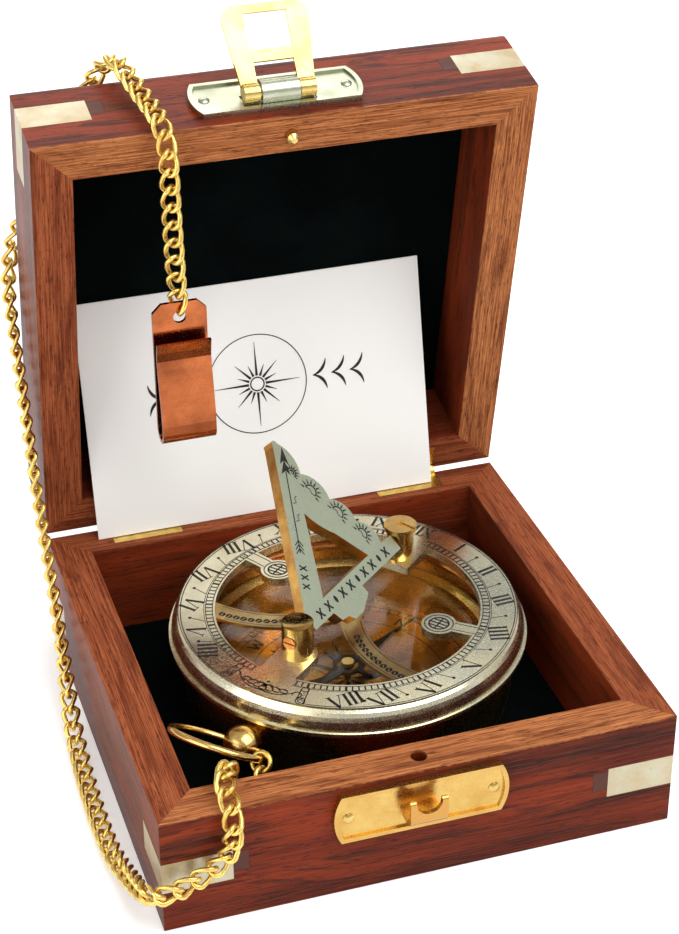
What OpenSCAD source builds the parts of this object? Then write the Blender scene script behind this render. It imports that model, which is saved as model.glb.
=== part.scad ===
// Folding sundial compass in a hinged hardwood box, with a chain and a belt clip.
// Millimetres, +Z up. The origin is the centre of the box's underside, +X is to the right,
// and the hinge of the lid runs along the back, at +Y. The lid stands open.

/* [Box] */
// Room between the dial's lip and the left wall, where the bow lies
left_room = 8.4; // [8.3:0.1:12]
// Room between the dial's lip and the right wall
right_room = 4; // [1:0.1:8]
// Room between the dial's lip and the front wall, where the chain goes down
front_room = 8.6; // [6:0.1:12]
// Gap between the dial's lip and the back wall
back_gap = 0.4; // [0.3:0.1:3]
// Height of the lower half
base_h = 25.4; // [24.5:0.1:30]
// Height of the lid
lid_h = 21; // [19:0.5:26]
// Thickness of the four walls of each half
wall = 8; // [7:0.1:8.5]
// Thickness of the bottom board, which lies between the walls
floor_t = 3.8; // [2.4:0.1:5]
// Thickness of the lid's top board, which covers its walls
board_t = 3; // [2.6:0.1:4]
// Thickness of the velvet linings
lining_t = 1; // [0.5:0.1:1.5]
// Radius of the rounded edge of the lid's top board
lid_round = 2.4; // [0.5:0.1:2.8]
// Angle from shut at which the lid stands
lid_open = 78.9; // [70:0.1:90]

/* [Box fittings] */
// Length of one arm of a corner inlay
inlay_len = 13.6; // [10:0.1:18]
// Width of a corner inlay
inlay_w = 6.8; // [4:0.1:9]
// Thickness of a corner inlay
inlay_t = 1; // [0.5:0.1:2]
// Length of the latch plates
latch_len = 34.6; // [30:0.1:40]
// Width of the latch plates
latch_w = 10.8; // [10:0.1:12]
// Thickness of the latch plates
latch_t = 0.8; // [0.5:0.1:1.2]
// Distance of the latch's middle from the middle of the box
latch_x = -1; // [-4:0.1:4]
// Radius of the hinge pin of the hasp
hasp_pin_r = 1.4; // [1:0.05:1.6]
// Length of the hasp flap from its pin to its far edge
flap_len = 17.4; // [17:0.1:19]
// Angle of the open hasp flap from the outward normal of its plate
flap_lean = 49; // [0:1:60]
// Length of a butt hinge
hinge_len = 15; // [10:0.5:24]
// Distance of each hinge's middle from the middle of the box
hinge_at = 30; // [20:0.5:34]
// Radius of the hinge barrel
barrel_r = 1.5; // [1.2:0.05:1.8]
// Radius of the locating pin in the lid's rim
locating_r = 1.2; // [0.8:0.1:1.5]

/* [Compass] */
// Direction of the noon line, from +X towards +Y
noon = 41.3; // [35:0.1:47]
// Radius of the case
case_r = 34; // [32:0.1:37]
// Overhang of the dial's lip past the case
lip_out = 2.8; // [2.4:0.1:3]
// Wall thickness of the case
case_wall = 1.6; // [1:0.1:2]
// Width of the dial's ring inside the bore of the case
ring_in = 5.2; // [4:0.1:6]
// Height of the dial's face above the underside of the box
face_z = 26.5; // [25.8:0.1:28]
// Thickness of the dial plate
dial_t = 1.8; // [1.2:0.1:2]
// Thickness of the glass
glass_t = 1.2; // [0.8:0.1:1.5]
// Length of the compass needle
needle_len = 46; // [30:1:52]
// Thickness of the needle
needle_t = 0.5; // [0.3:0.05:0.8]

/* [Gnomon] */
// Thickness of the gnomon
gnomon_t = 2.8; // [2:0.1:3]
// Height of the tip above the hinge line, in the plate
gnomon_h = 33; // [26:0.1:33.5]
// Lean of the gnomon from upright, towards the morning side
gnomon_lean = 45; // [30:1:60]
// Radius of the two posts
post_r = 3.2; // [2.6:0.1:3.5]
// Height of the posts above the dial
post_h = 7.6; // [7:0.1:8.5]
// Height of the gnomon's hinge line above the dial
pivot_h = 4.3; // [4:0.1:4.6]
// Distance of the near post's middle from the edge of the dial's opening
near_post_in = 7.8; // [6.8:0.1:9]
// Distance of the far post's middle from the edge of the dial's opening
far_post_in = 5.4; // [4.8:0.1:6.5]
// Radius of the pivot screws
pivot_r = 0.75; // [0.6:0.05:0.9]

/* [Pendant and chain] */
// Radius of the crown ball
ball_r = 4; // [3.4:0.1:4.1]
// Radius of the bow, to the middle of its wire
bow_r = 9.6; // [8:0.1:9.7]
// Radius of the bow's wire
bow_wire = 0.75; // [0.5:0.05:0.8]
// Rise of the bow above level
bow_tilt = 36; // [35:1:60]
// Radius of the chain's wire
chain_wire = 0.5; // [0.4:0.02:0.56]
// Outside width of a chain link
link_w = 4.2; // [4:0.1:4.4]
// Outside length of a chain link
link_len = 6; // [5.8:0.1:6.2]
// Width of the belt clip
clip_w = 11; // [8:0.5:13]
// Thickness of the belt clip's strip
clip_t = 0.8; // [0.5:0.05:1]
// Height of the belt clip's back leaf
clip_h = 27; // [22:0.5:30]

/* [Card] */
// Width of the card in the lid
card_w = 76; // [60:0.2:80]
// Height of the card in the lid
card_h = 52; // [45:1:56]
// Thickness of the card
card_t = 0.4; // [0.3:0.05:0.8]

/* [Hidden] */
$fn = 96;
eps = 0.01;
fit = 0.05;

// Box, which is made to fit the compass
lip_r = case_r + lip_out;
in_w = left_room + 2 * lip_r + right_room;
in_d = front_room + 2 * lip_r + back_gap;
box_w = in_w + 2 * wall;
box_d = in_d + 2 * wall;
dial_x = (left_room - right_room) / 2;
dial_y = (front_room - back_gap) / 2;
hinge_y = box_d / 2 + 0.87;
rim_gap = 0.1;
floor_z = floor_t + lining_t;
lid_wall_top = base_h + lid_h - board_t;
inlay_z = base_h / 2 - 0.3;
lid_inlay_z = base_h + lid_h / 2 + 0.4;
plug_w = 3;
plug_h = 4.4;
plug_t = 1.5;

// Hinges: each leaf lies in a recess of its rim, and the barrel in a groove at the back
leaf_t = 0.8;
leaf_w = 6;
hinge_pin_r = 0.6;
hinge_sides = [-1, 1];
leaf_screw_r = 0.6;
leaf_screw_len = 5;
leaf_screw_at = 4;

// Latch, all given in the shut lid's place
catch_z = base_h - 7.2;
hasp_plate_z = base_h + 8;
hasp_axis_z = base_h + 6;
hasp_axis_y = -box_d / 2 - 2.5;
knuckle_w = 7.6;
knuckle_r = hasp_pin_r + 0.95;
flap_t = 1;
flap_foot = 14.4;
flap_top = 17.6;
flap_eye_r = hasp_pin_r + 0.5;
flap_window_w = 8.8;
flap_window_lo = 8.3;
flap_window_hi = 15.7;
flap_notch_hi = 5.9;
hook_w = 7.4;
hook_out = 4.4;
hook_lo = 15.9;
hook_hi = 22.4;
nail_r = 0.6;
nail_head_r = 1.1;
nail_len = 5;
nail_at = latch_len / 2 - 2.9;
locating_y = -box_d / 2 + wall / 2;
locating_len = 2.4;

// Compass, measured up from the lining that it stands on
case_floor_t = 1.6;
case_top = face_z - 5.5;
case_in_r = case_r - case_wall;
spigot_r = case_r - 0.8;
card_disc_t = 0.8;
card_disc_z = floor_z + 0.1 + case_floor_t;
glass_z = face_z - 6.9;
window_r = case_in_r - ring_in;
near_post_at = window_r - near_post_in;
far_post_at = window_r - far_post_in;
sleeve_in_r = case_in_r - 3.8;
bezel_in_r = case_in_r - 3;
bezel_t = 1.6;
arm_t = 0.8;
arm_w = 4.6;
arm_bow = window_r - 1.2;
arm_turn_at = window_r - 12.6;
arm_z = face_z - dial_t - arm_t;
tab_at = window_r - 7.6;
tab_r = 3.6;
tab_stem_w = 3.6;
tab_turn = 79;
lug_w = 8;
needle_z = card_disc_z + 4;
pivot_z = face_z + pivot_h;
axis_len = near_post_at + far_post_at;

// Pendant
crown_turn = 220.5;
crown_z = face_z - 9.7;
crown_at = case_r + 5.2;
ball_at = [dial_x + crown_at * cos(crown_turn), dial_y + crown_at * sin(crown_turn), crown_z];
bow_centre = ball_at + bow_r * [cos(crown_turn) * cos(bow_tilt), sin(crown_turn) * cos(bow_tilt), sin(bow_tilt)];
bow_end = bow_centre + bow_r * [-sin(crown_turn), cos(crown_turn), 0];
jump_r = 1.9;
jump_wire = 0.5;
jump_hang = [-0.12, -0.3, -0.42];

// Chain
link_play = 0.36;
pitch = link_len - 4 * chain_wire - link_play;
clip_top_z = 89;
clip_hole_drop = 3.2;
clip_hole_r = 1.3;
clip_y = 27.2;
clip_x = -24.8;
card_foot_gap = 0.2;
card_top_gap = 0.1;
card_set = 4;
card_x = -2.6;

// The chain's way from the bow, over the front rim, round the left corner, along the table
// and up behind the lid, over the lid's edge and down to the clip. Each row is a point and
// the direction in which the chain faces away from what it lies on.
chain_way = [
    [-27.8, -35.0, 21.0, -0.87, 0.15, 0.19],
    [-28.1, -37.1, 18.1, -0.87, 0.41, 0.31],
    [-30.3, -38.8, 16.1, -0.97, 0.2, 0.3],
    [-31.8, -39.3, 14.7, 0.08, 0.78, 0.59],
    [-33.3, -39.1, 17.4, 0.34, 0.77, 0.15],
    [-35.9, -39.1, 20.7, 0.7, 1.0, -0.25],
    [-35.1, -39.1, 26.0, 0.5, 0.91, 0.45],
    [-34.9, -39.6, 27.7, 0.79, 1.42, 1.1],
    [-36.9, -43.6, 29.2, 0.28, 0.14, 0.98],
    [-37.9, -47.1, 28.7, -0.04, -0.08, 0.94],
    [-37.6, -50.6, 27.2, 0.01, -0.58, 0.81],
    [-38.0, -52.6, 24.2, 0.0, -0.97, 0.24],
    [-38.2, -52.4, 20.0, 0.0, -1.0, 0.0],
    [-39.2, -51.7, 16.6, 0.0, -1.0, 0.0],
    [-41.8, -51.4, 14.0, 0.0, -1.0, 0.0],
    [-45.4, -51.8, 12.6, 0.0, -1.0, 0.0],
    [-49.2, -52.6, 11.8, -0.2, -1.0, 0.0],
    [-52.4, -52.0, 11.0, -0.7, -0.7, 0.0],
    [-54.2, -49.4, 10.0, -1.0, -0.3, 0.0],
    [-54.6, -45.8, 8.4, -1.0, 0.0, 0.2],
    [-54.8, -41.0, 6.2, -1.0, 0.0, 0.4],
    [-55.2, -35.0, 4.0, -0.8, 0.0, 0.6],
    [-55.8, -28.0, 2.6, -0.5, 0.0, 0.9],
    [-56.0, -20.0, 2.0, -0.2, 0.0, 1.0],
    [-56.0, -12.0, 2.0, 0.0, 0.0, 1.0],
    [-55.8, -4.0, 2.0, 0.0, 0.0, 1.0],
    [-55.4, 4.0, 2.2, -0.2, 0.0, 1.0],
    [-55.0, 11.0, 3.6, -0.5, 0.0, 0.9],
    [-54.4, 18.0, 7.0, -0.8, 0.0, 0.6],
    [-53.8, 24.0, 11.4, -1.0, 0.0, 0.3],
    [-53.4, 29.4, 16.8, -1.0, 0.0, 0.1],
    [-53.2, 34.4, 23.0, -1.0, 0.0, 0.0],
    [-53.2, 39.0, 30.0, -1.0, 0.0, 0.0],
    [-53.2, 43.4, 38.0, -1.0, 0.0, 0.0],
    [-53.2, 47.2, 46.0, -1.0, 0.0, 0.0],
    [-53.2, 50.6, 55.0, -1.0, 0.0, 0.0],
    [-53.2, 54.0, 65.0, -1.0, 0.0, 0.0],
    [-53.2, 57.2, 74.0, -1.0, 0.2, 0.0],
    [-52.8, 60.4, 82.0, -0.9, 0.5, 0.0],
    [-51.0, 62.2, 89.6, -0.6, 0.8, 0.1],
    [-47.6, 61.2, 97.0, -0.2, 1.0, 0.2],
    [-43.4, 58.8, 106.0, 0.0, 1.0, 0.2],
    [-39.4, 57.2, 114.0, 0.0, 1.0, 0.2],
    [-35.6, 56.6, 121.0, 0.0, 1.0, 0.3],
    [-32.8, 55.6, 126.4, 0.0, 0.9, 0.5],
    [-30.8, 53.0, 130.0, 0.0, 0.6, 0.8],
    [-29.4, 49.0, 130.8, 0.0, 0.1, 1.0],
    [-28.2, 43.6, 129.0, 0.0, -0.2, 1.0],
    [-27.2, 38.2, 127.4, 0.0, -0.2, 1.0],
    [-26.4, 33.0, 126.4, 0.0, -0.3, 1.0],
    [-25.9, 29.4, 124.8, 0.0, -0.7, 0.7],
    [-25.6, 27.6, 121.4, 0.0, -1.0, 0.3],
    [-25.5, 27.4, 116.0, 0.0, -1.0, 0.0],
    [-25.4, 27.6, 108.0, 0.0, -1.0, 0.0],
    [-25.2, 27.6, 98.0, -0.35, -0.9, 0.0],
    [-25.0, 27.6, 92.0, -0.7, -0.7, 0.0],
    [-24.8, 27.6, 87.1, -0.7, -0.7, 0.0]
];

function catmull(a, b, c, d, t) =
    0.5 * (2 * b + (c - a) * t + (2 * a - 5 * b + 4 * c - d) * t * t + (3 * b - a - 3 * c + d) * t * t * t);
function place(row) = [row[0], row[1], row[2]];
function unit(v) = v / norm(v);

way_steps = 6;
way_last = len(chain_way) - 1;
way_rows = [for (i = [0 : way_last - 1]) for (j = [0 : way_steps - 1 + (i == way_last - 1 ? 1 : 0)])
    catmull(chain_way[max(i - 1, 0)], chain_way[i], chain_way[i + 1], chain_way[min(i + 2, way_last)],
        j / way_steps)];
function run_to(rows, i = 1, run = [0]) =
    i >= len(rows) ? run
    : run_to(rows, i + 1, concat(run, [run[i - 1] + norm(place(rows[i]) - place(rows[i - 1]))]));
way_run = run_to(way_rows);
way_len = way_run[len(way_run) - 1];
link_count = floor(way_len / pitch);
way_tables = [for (k = [0 : 5]) [for (i = [0 : len(way_rows) - 1]) [way_run[i], way_rows[i][k]]]];
function way_at(s) = [for (k = [0 : 2]) lookup(s, way_tables[k])];
function way_up(s) = [for (k = [3 : 5]) lookup(s, way_tables[k])];
function link_spot(i) = i * way_len / link_count;

// The front stretch ends at the left corner and the side stretch behind the lid. The rest
// of the links ride on the lid.
front_run = 62;
side_run = 232;
links = [0 : link_count - 1];
front_links = [for (i = links) if (link_spot(i) < front_run) i];
side_links = [for (i = links) if (link_spot(i) >= front_run && link_spot(i) < side_run) i];
lid_links = [for (i = links) if (link_spot(i) >= side_run) i];

wood = [0.48, 0.2, 0.12];
dark_wood = [0.22, 0.08, 0.06];
velvet = [0.03, 0.08, 0.06];
gold = [0.93, 0.76, 0.36];
brass = [0.8, 0.7, 0.42];
pale_brass = [0.86, 0.83, 0.68];
copper = [0.62, 0.42, 0.22];
steel = [0.2, 0.22, 0.26];

// Places

module at_lid() {
    translate([0, hinge_y, base_h])
        rotate([-lid_open, 0, 0])
            translate([0, -hinge_y, -base_h])
                children();
}

module at_dial() {
    translate([dial_x, dial_y, 0])
        rotate([0, 0, noon])
            children();
}

module at_hinges() {
    for (side = hinge_sides)
        translate([side * hinge_at, 0, 0])
            children();
}

module along_x(length) {
    rotate([90, 0, 90])
        linear_extrude(length, center = true)
            children();
}

// Box walls, mitred at the corners

module mitred_wall(length, depth, low, high) {
    translate([0, 0, low])
        linear_extrude(high - low)
            polygon([[-length / 2, -depth / 2], [length / 2, -depth / 2],
                [length / 2 - wall, -depth / 2 + wall], [-length / 2 + wall, -depth / 2 + wall]]);
}

module front_board(low, high) {
    mitred_wall(box_w, box_d, low, high);
}

module back_board(low, high) {
    mirror([0, 1, 0])
        front_board(low, high);
}

module left_board(low, high) {
    rotate([0, 0, -90])
        mitred_wall(box_d, box_w, low, high);
}

module right_board(low, high) {
    mirror([1, 0, 0])
        left_board(low, high);
}

// An L-shaped strip let in flush round the front left corner, at height z
module corner_strip(z, slack = 0) {
    translate([-box_w / 2, -box_d / 2, z - inlay_w / 2 - slack])
        linear_extrude(inlay_w + 2 * slack)
            difference() {
                translate([-slack, -slack])
                    square(inlay_len + 2 * slack);
                translate([inlay_t + slack, inlay_t + slack])
                    square(inlay_len + 1);
            }
}

module corner_strips(z, slack = 0) {
    for (mx = [0, 1])
        for (my = [0, 1])
            mirror([mx, 0, 0])
                mirror([0, my, 0])
                    corner_strip(z, slack);
}

// The dark plug that stops the end of each front inlay
module corner_plug_pair(z, slack = 0) {
    for (mx = [0, 1])
        mirror([mx, 0, 0])
            translate([-box_w / 2 + inlay_len + fit - slack, -box_d / 2 - slack, z - plug_h / 2 + 0.6 - slack])
                cube([plug_w + 2 * slack, plug_t + 2 * slack, plug_h + 2 * slack]);
}

module hinge_grooves() {
    at_hinges() {
        translate([0, hinge_y, base_h])
            rotate([0, 90, 0])
                cylinder(r = barrel_r + 0.25, h = hinge_len + 0.4, center = true);
    }
}

module leaf_recess(up) {
    at_hinges()
        translate([-hinge_len / 2 - fit, box_d / 2 - leaf_w - fit, up ? base_h + rim_gap - 1 : base_h - leaf_t])
            cube([hinge_len + 2 * fit, leaf_w + 1, leaf_t + 1]);
}

module leaf_screw_holes(up) {
    at_hinges()
        for (side = [-1, 1])
            translate([side * leaf_screw_at, box_d / 2 - leaf_w / 2 - 0.8, base_h])
                mirror([0, 0, up ? 1 : 0])
                    translate([0, 0, -leaf_screw_len - leaf_t])
                        cylinder(r = leaf_screw_r + fit, h = leaf_screw_len + leaf_t);
}

module nail_holes(z) {
    for (side = [-1, 1])
        translate([latch_x + side * nail_at, -box_d / 2 - 2, z])
            rotate([-90, 0, 0])
                cylinder(r = nail_r + fit, h = nail_len + 2);
}

module base_front_wall() {
    color(wood)
        difference() {
            front_board(0, base_h);
            corner_strips(inlay_z, fit);
            corner_plug_pair(inlay_z, fit);
            nail_holes(catch_z);
            translate([0, locating_y, base_h - locating_len - 1.2])
                cylinder(r = locating_r + 0.4, h = locating_len + 2);
        }
}

module base_back_wall() {
    color(wood)
        difference() {
            back_board(0, base_h);
            corner_strips(inlay_z, fit);
            hinge_grooves();
            leaf_recess(false);
            leaf_screw_holes(false);
        }
}

module base_left_wall() {
    color(wood)
        difference() {
            left_board(0, base_h);
            corner_strips(inlay_z, fit);
        }
}

module base_right_wall() {
    color(wood)
        difference() {
            right_board(0, base_h);
            corner_strips(inlay_z, fit);
        }
}

module base_bottom_board() {
    color(dark_wood)
        translate([-in_w / 2, -in_d / 2, 0])
            cube([in_w, in_d, floor_t]);
}

module base_lining() {
    color(velvet)
        translate([-in_w / 2 + 0.2, -in_d / 2 + 0.2, floor_t])
            cube([in_w - 0.4, in_d - 0.4, lining_t]);
}

module base_corner_inlays() {
    color(pale_brass)
        corner_strips(inlay_z);
}

module base_corner_plugs() {
    color(dark_wood)
        corner_plug_pair(inlay_z);
}

// Lid, drawn shut and then opened

module lid_front_wall() {
    color(wood)
        at_lid()
            difference() {
                front_board(base_h + rim_gap, lid_wall_top);
                corner_strips(lid_inlay_z, fit);
                corner_plug_pair(lid_inlay_z, fit);
                nail_holes(hasp_plate_z);
                translate([0, locating_y, base_h])
                    cylinder(r = locating_r + fit, h = 6);
            }
}

module lid_back_wall() {
    color(wood)
        at_lid()
            difference() {
                back_board(base_h + rim_gap, lid_wall_top);
                corner_strips(lid_inlay_z, fit);
                hinge_grooves();
                leaf_recess(true);
                leaf_screw_holes(true);
            }
}

module lid_left_wall() {
    color(wood)
        at_lid()
            difference() {
                left_board(base_h + rim_gap, lid_wall_top);
                corner_strips(lid_inlay_z, fit);
            }
}

module lid_right_wall() {
    color(wood)
        at_lid()
            difference() {
                right_board(base_h + rim_gap, lid_wall_top);
                corner_strips(lid_inlay_z, fit);
            }
}

module rounded_slab(width, height, radius) {
    translate([-width / 2, 0])
        square([width, height - radius]);
    translate([-width / 2 + radius, 0])
        square([width - 2 * radius, height]);
    intersection() {
        for (side = [-1, 1])
            translate([side * (width / 2 - radius), height - radius])
                circle(radius);
        translate([-width / 2, 0])
            square([width, height]);
    }
}

module lid_top_board() {
    color(wood)
        at_lid()
            translate([0, 0, lid_wall_top])
                intersection() {
                    along_x(box_w)
                        rounded_slab(box_d, board_t, lid_round);
                    rotate([90, 0, 0])
                        linear_extrude(box_d, center = true)
                            rounded_slab(box_w, board_t, lid_round);
                }
}

module lid_lining() {
    color(velvet)
        at_lid()
            translate([-in_w / 2 + 0.2, -in_d / 2 + 0.2, lid_wall_top - lining_t])
                cube([in_w - 0.4, in_d - 0.4, lining_t]);
}

module lid_corner_inlays() {
    color(pale_brass)
        at_lid()
            corner_strips(lid_inlay_z);
}

module lid_corner_plugs() {
    color(dark_wood)
        at_lid()
            corner_plug_pair(lid_inlay_z);
}

module locating_pin() {
    color(brass)
        at_lid()
            translate([0, locating_y, base_h + rim_gap]) {
                translate([0, 0, 0])
                    cylinder(r = locating_r, h = 5.5);
                translate([0, 0, -locating_len + 0.8])
                    cylinder(r = locating_r, h = locating_len - 0.8);
                translate([0, 0, -locating_len])
                    cylinder(r1 = locating_r * 0.5, r2 = locating_r, h = 0.8, $fn = 48);
            }
}

// The card stands on the rim of the base's back wall and leans against the lid's lining. Its
// foot is turned into the shut lid's place first, where all the lid's pieces are drawn.
module card() {
    before_hinge = hinge_y - in_d / 2 - card_set;
    foot_y = hinge_y - before_hinge * cos(lid_open) - card_foot_gap * sin(lid_open);
    foot_z = base_h - before_hinge * sin(lid_open) + card_foot_gap * cos(lid_open);
    rise = base_h + lid_h - board_t - lining_t - card_top_gap - card_t - foot_z;
    lean = asin(rise / card_h);
    color([0.96, 0.95, 0.93])
        at_lid()
            translate([card_x, foot_y, foot_z])
                rotate([-lean, 0, 0])
                    translate([-card_w / 2, -card_h, 0])
                        cube([card_w, card_h, card_t]);
}

// Butt hinges

module leaf(up) {
    at_hinges()
        difference() {
            union() {
                translate([-hinge_len / 2, box_d / 2 - leaf_w, up ? base_h + rim_gap : base_h - leaf_t])
                    cube([hinge_len, leaf_w + 0.87, leaf_t - (up ? rim_gap : 0)]);
                translate([0, hinge_y, base_h])
                    rotate([0, 90, 0])
                        cylinder(r = barrel_r, h = hinge_len, center = true);
            }
            knuckle_gaps(up);
            translate([0, hinge_y, base_h])
                rotate([0, 90, 0])
                    cylinder(r = hinge_pin_r + fit, h = hinge_len + 1, center = true);
            for (side = [-1, 1])
                translate([side * leaf_screw_at, box_d / 2 - leaf_w / 2 - 0.8, base_h])
                    cylinder(r = leaf_screw_r + fit, h = 4, center = true);
        }
}

// The lid's leaf has the middle knuckle, the base's leaf the outer two
module knuckle_gaps(up) {
    third = hinge_len / 3;
    room = barrel_r + 0.3;
    for (x = up ? [-third, third] : [0])
        translate([x, hinge_y, base_h])
            cube([third + (up ? 0.2 : 0.1), 2 * room, 2 * room], center = true);
    if (up)
        for (x = [-1, 1])
            translate([x * hinge_len / 2, hinge_y, base_h])
                cube([0.6, 2 * room, 2 * room], center = true);
}

module hinge_base_leaves() {
    color(brass)
        leaf(false);
}

module hinge_lid_leaves() {
    color(brass)
        at_lid()
            leaf(true);
}

module hinge_pins() {
    color(copper)
        at_hinges()
            translate([0, hinge_y, base_h])
                rotate([0, 90, 0])
                    cylinder(r = hinge_pin_r, h = hinge_len, center = true);
}

module leaf_screws(up) {
    at_hinges()
        for (side = [-1, 1])
            translate([side * leaf_screw_at, box_d / 2 - leaf_w / 2 - 0.8, base_h + (up ? rim_gap : 0)])
                mirror([0, 0, up ? 1 : 0])
                    translate([0, 0, -leaf_screw_len])
                        cylinder(r = leaf_screw_r, h = leaf_screw_len);
}

module hinge_base_screws() {
    color(brass)
        leaf_screws(false);
}

module hinge_lid_screws() {
    color(brass)
        at_lid()
            leaf_screws(true);
}

// Latch. The plates have round ends and a raised edge.

module latch_outline(inset) {
    intersection() {
        square([latch_len - 2 * inset, latch_w - 2 * inset], center = true);
        translate([latch_len / 2 - latch_w, 0])
            circle(latch_w - inset);
    }
    intersection() {
        square([latch_len - 2 * inset, latch_w - 2 * inset], center = true);
        translate([-latch_len / 2 + latch_w, 0])
            circle(latch_w - inset);
    }
    square([latch_len - 2 * latch_w, latch_w - 2 * inset], center = true);
}

module latch_plate(z) {
    translate([latch_x, -box_d / 2, z])
        rotate([90, 0, 0])
            difference() {
                union() {
                    linear_extrude(latch_t)
                        latch_outline(0);
                    linear_extrude(latch_t + 0.5)
                        difference() {
                            latch_outline(0);
                            latch_outline(0.9);
                        }
                }
                for (side = [-1, 1])
                    translate([side * nail_at, 0, -1])
                        cylinder(r = nail_r + fit, h = 4);
            }
}

module nails(z) {
    for (side = [-1, 1])
        translate([latch_x + side * nail_at, -box_d / 2 - latch_t, z])
            rotate([-90, 0, 0]) {
                cylinder(r = nail_r, h = nail_len);
                intersection() {
                    translate([0, 0, nail_head_r])
                        sphere(nail_head_r * 1.5, $fn = 32);
                    translate([0, 0, -1])
                        cylinder(r = nail_head_r, h = 1);
                }
            }
}

// The catch is a tongue pressed out of the plate, bent up and back, with a notch in its lip
module catch_hook() {
    bend = 2.2;
    difference() {
        translate([latch_x, -box_d / 2 - latch_t, 0])
            along_x(hook_w)
                difference() {
                    union() {
                        translate([-hook_out + bend, hook_lo + bend])
                            circle(bend);
                        translate([-hook_out + bend, hook_lo])
                            square([hook_out - bend + 0.2, 2 * bend]);
                        translate([-hook_out, hook_lo + bend])
                            square([2 * bend, hook_hi - hook_lo - bend - 0.6]);
                        translate([-hook_out + 0.9, hook_hi - 1.2])
                            circle(0.9);
                    }
                    translate([-hook_out + bend, hook_lo + bend])
                        circle(bend - 0.9);
                    translate([-hook_out + bend, hook_lo + 0.9])
                        square([hook_out + 1, 2 * bend - 1.8]);
                    translate([-hook_out + 0.9, hook_lo + bend])
                        square([hook_out + 2, hook_hi - hook_lo]);
                }
        translate([latch_x, 0, hook_hi + 0.2])
            rotate([90, 0, 0])
                linear_extrude(box_d) {
                    translate([-2.5, -1])
                        square([5, 1.8]);
                    translate([0, -1])
                        circle(2.5);
                }
    }
}

module catch_plate() {
    color(gold) {
        latch_plate(catch_z);
        catch_hook();
    }
}

module catch_nails() {
    color(gold)
        nails(catch_z);
}

// The strap rises from the foot of the hasp plate and curls round the pin
module hasp_knuckle() {
    out = hasp_axis_y + box_d / 2;
    along_x(knuckle_w)
        difference() {
            union() {
                translate([hasp_axis_y, hasp_axis_z])
                    circle(knuckle_r);
                translate([hasp_axis_y, hasp_axis_z - knuckle_r])
                    square([-out - latch_t + 0.1, 0.9]);
            }
            translate([hasp_axis_y, hasp_axis_z])
                circle(hasp_pin_r + fit);
        }
}

module hasp_plate() {
    color(pale_brass)
        at_lid()
            difference() {
                union() {
                    latch_plate(hasp_plate_z);
                    translate([latch_x, 0, 0])
                        hasp_knuckle();
                }
                translate([latch_x, hasp_axis_y, hasp_axis_z])
                    for (side = [0, 1])
                        mirror([side, 0, 0])
                            translate([knuckle_w / 2, 0, -flap_eye_r - 0.2])
                                cube([flap_foot / 2 + 0.2 - knuckle_w / 2, flap_eye_r + 0.2, 2 * flap_eye_r + 0.4]);
            }
}

module hasp_nails() {
    color(pale_brass)
        at_lid()
            nails(hasp_plate_z);
}

module at_hasp() {
    at_lid()
        translate([latch_x, hasp_axis_y, hasp_axis_z])
            rotate([-flap_lean, 0, 0])
                children();
}

// The flap lies in its own XY plane here and points along -Y from the pin
module flap_outline() {
    round_r = 3;
    difference() {
        union() {
            polygon([[-flap_foot / 2, 0], [flap_foot / 2, 0],
                [flap_top / 2, -flap_len + round_r], [-flap_top / 2, -flap_len + round_r]]);
            translate([-flap_top / 2 + round_r, -flap_len])
                square([flap_top - 2 * round_r, round_r + 1]);
            for (side = [-1, 1])
                translate([side * (flap_top / 2 - round_r), -flap_len + round_r])
                    circle(round_r);
        }
        translate([-flap_window_w / 2, -flap_window_hi])
            square([flap_window_w, flap_window_hi - flap_window_lo]);
        translate([-knuckle_w / 2 - 0.3, -flap_notch_hi])
            square([knuckle_w + 0.6, flap_notch_hi + 1]);
    }
}

module hasp_flap() {
    eye_len = flap_foot / 2 - knuckle_w / 2 - 0.3;
    color(gold)
        at_hasp()
            difference() {
                union() {
                    translate([0, 0, -flap_t / 2])
                        linear_extrude(flap_t)
                            flap_outline();
                    for (side = [-1, 1])
                        translate([side * (knuckle_w / 2 + 0.3 + eye_len / 2), 0, 0])
                            rotate([0, 90, 0])
                                cylinder(r = flap_eye_r, h = eye_len, center = true);
                }
                rotate([0, 90, 0])
                    cylinder(r = hasp_pin_r + 0.02, h = flap_foot + 2, center = true);
            }
}

module hasp_pin() {
    color(gold)
        at_hasp()
            rotate([0, 90, 0])
                cylinder(r = hasp_pin_r, h = flap_foot, center = true);
}

// Compass

module compass_case() {
    foot = floor_z + 0.1;
    color(brass)
        translate([dial_x, dial_y, 0])
            difference() {
                rotate_extrude()
                    polygon([[0, foot], [case_r - 3, foot], [case_r - 1.2, foot + 0.9],
                        [case_r - 0.3, foot + 2.2], [case_r, foot + 3.6], [case_r, case_top],
                        [spigot_r, case_top], [spigot_r, case_top + 3.2], [case_in_r, case_top + 3.2],
                        [case_in_r, foot + case_floor_t], [0, foot + case_floor_t]]);
                rotate([0, 0, crown_turn])
                    translate([case_r - 3, 0, crown_z])
                        rotate([0, 90, 0])
                            cylinder(r = 1.3 + fit, h = 5);
            }
}

module inner_sleeve() {
    color(brass)
        translate([dial_x, dial_y, 0])
            difference() {
                rotate_extrude()
                    polygon([[sleeve_in_r - 0.8, card_disc_z + card_disc_t], [case_in_r - 0.1, card_disc_z + card_disc_t],
                        [case_in_r - 0.1, glass_z], [sleeve_in_r + 1.6, glass_z], [sleeve_in_r + 1.6, glass_z - 2.4],
                        [sleeve_in_r, glass_z - 3.4]]);
                rotate([0, 0, crown_turn])
                    translate([case_r - 3.2, 0, crown_z])
                        rotate([0, 90, 0])
                            cylinder(r = 1.3 + fit, h = 5);
            }
}

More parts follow.
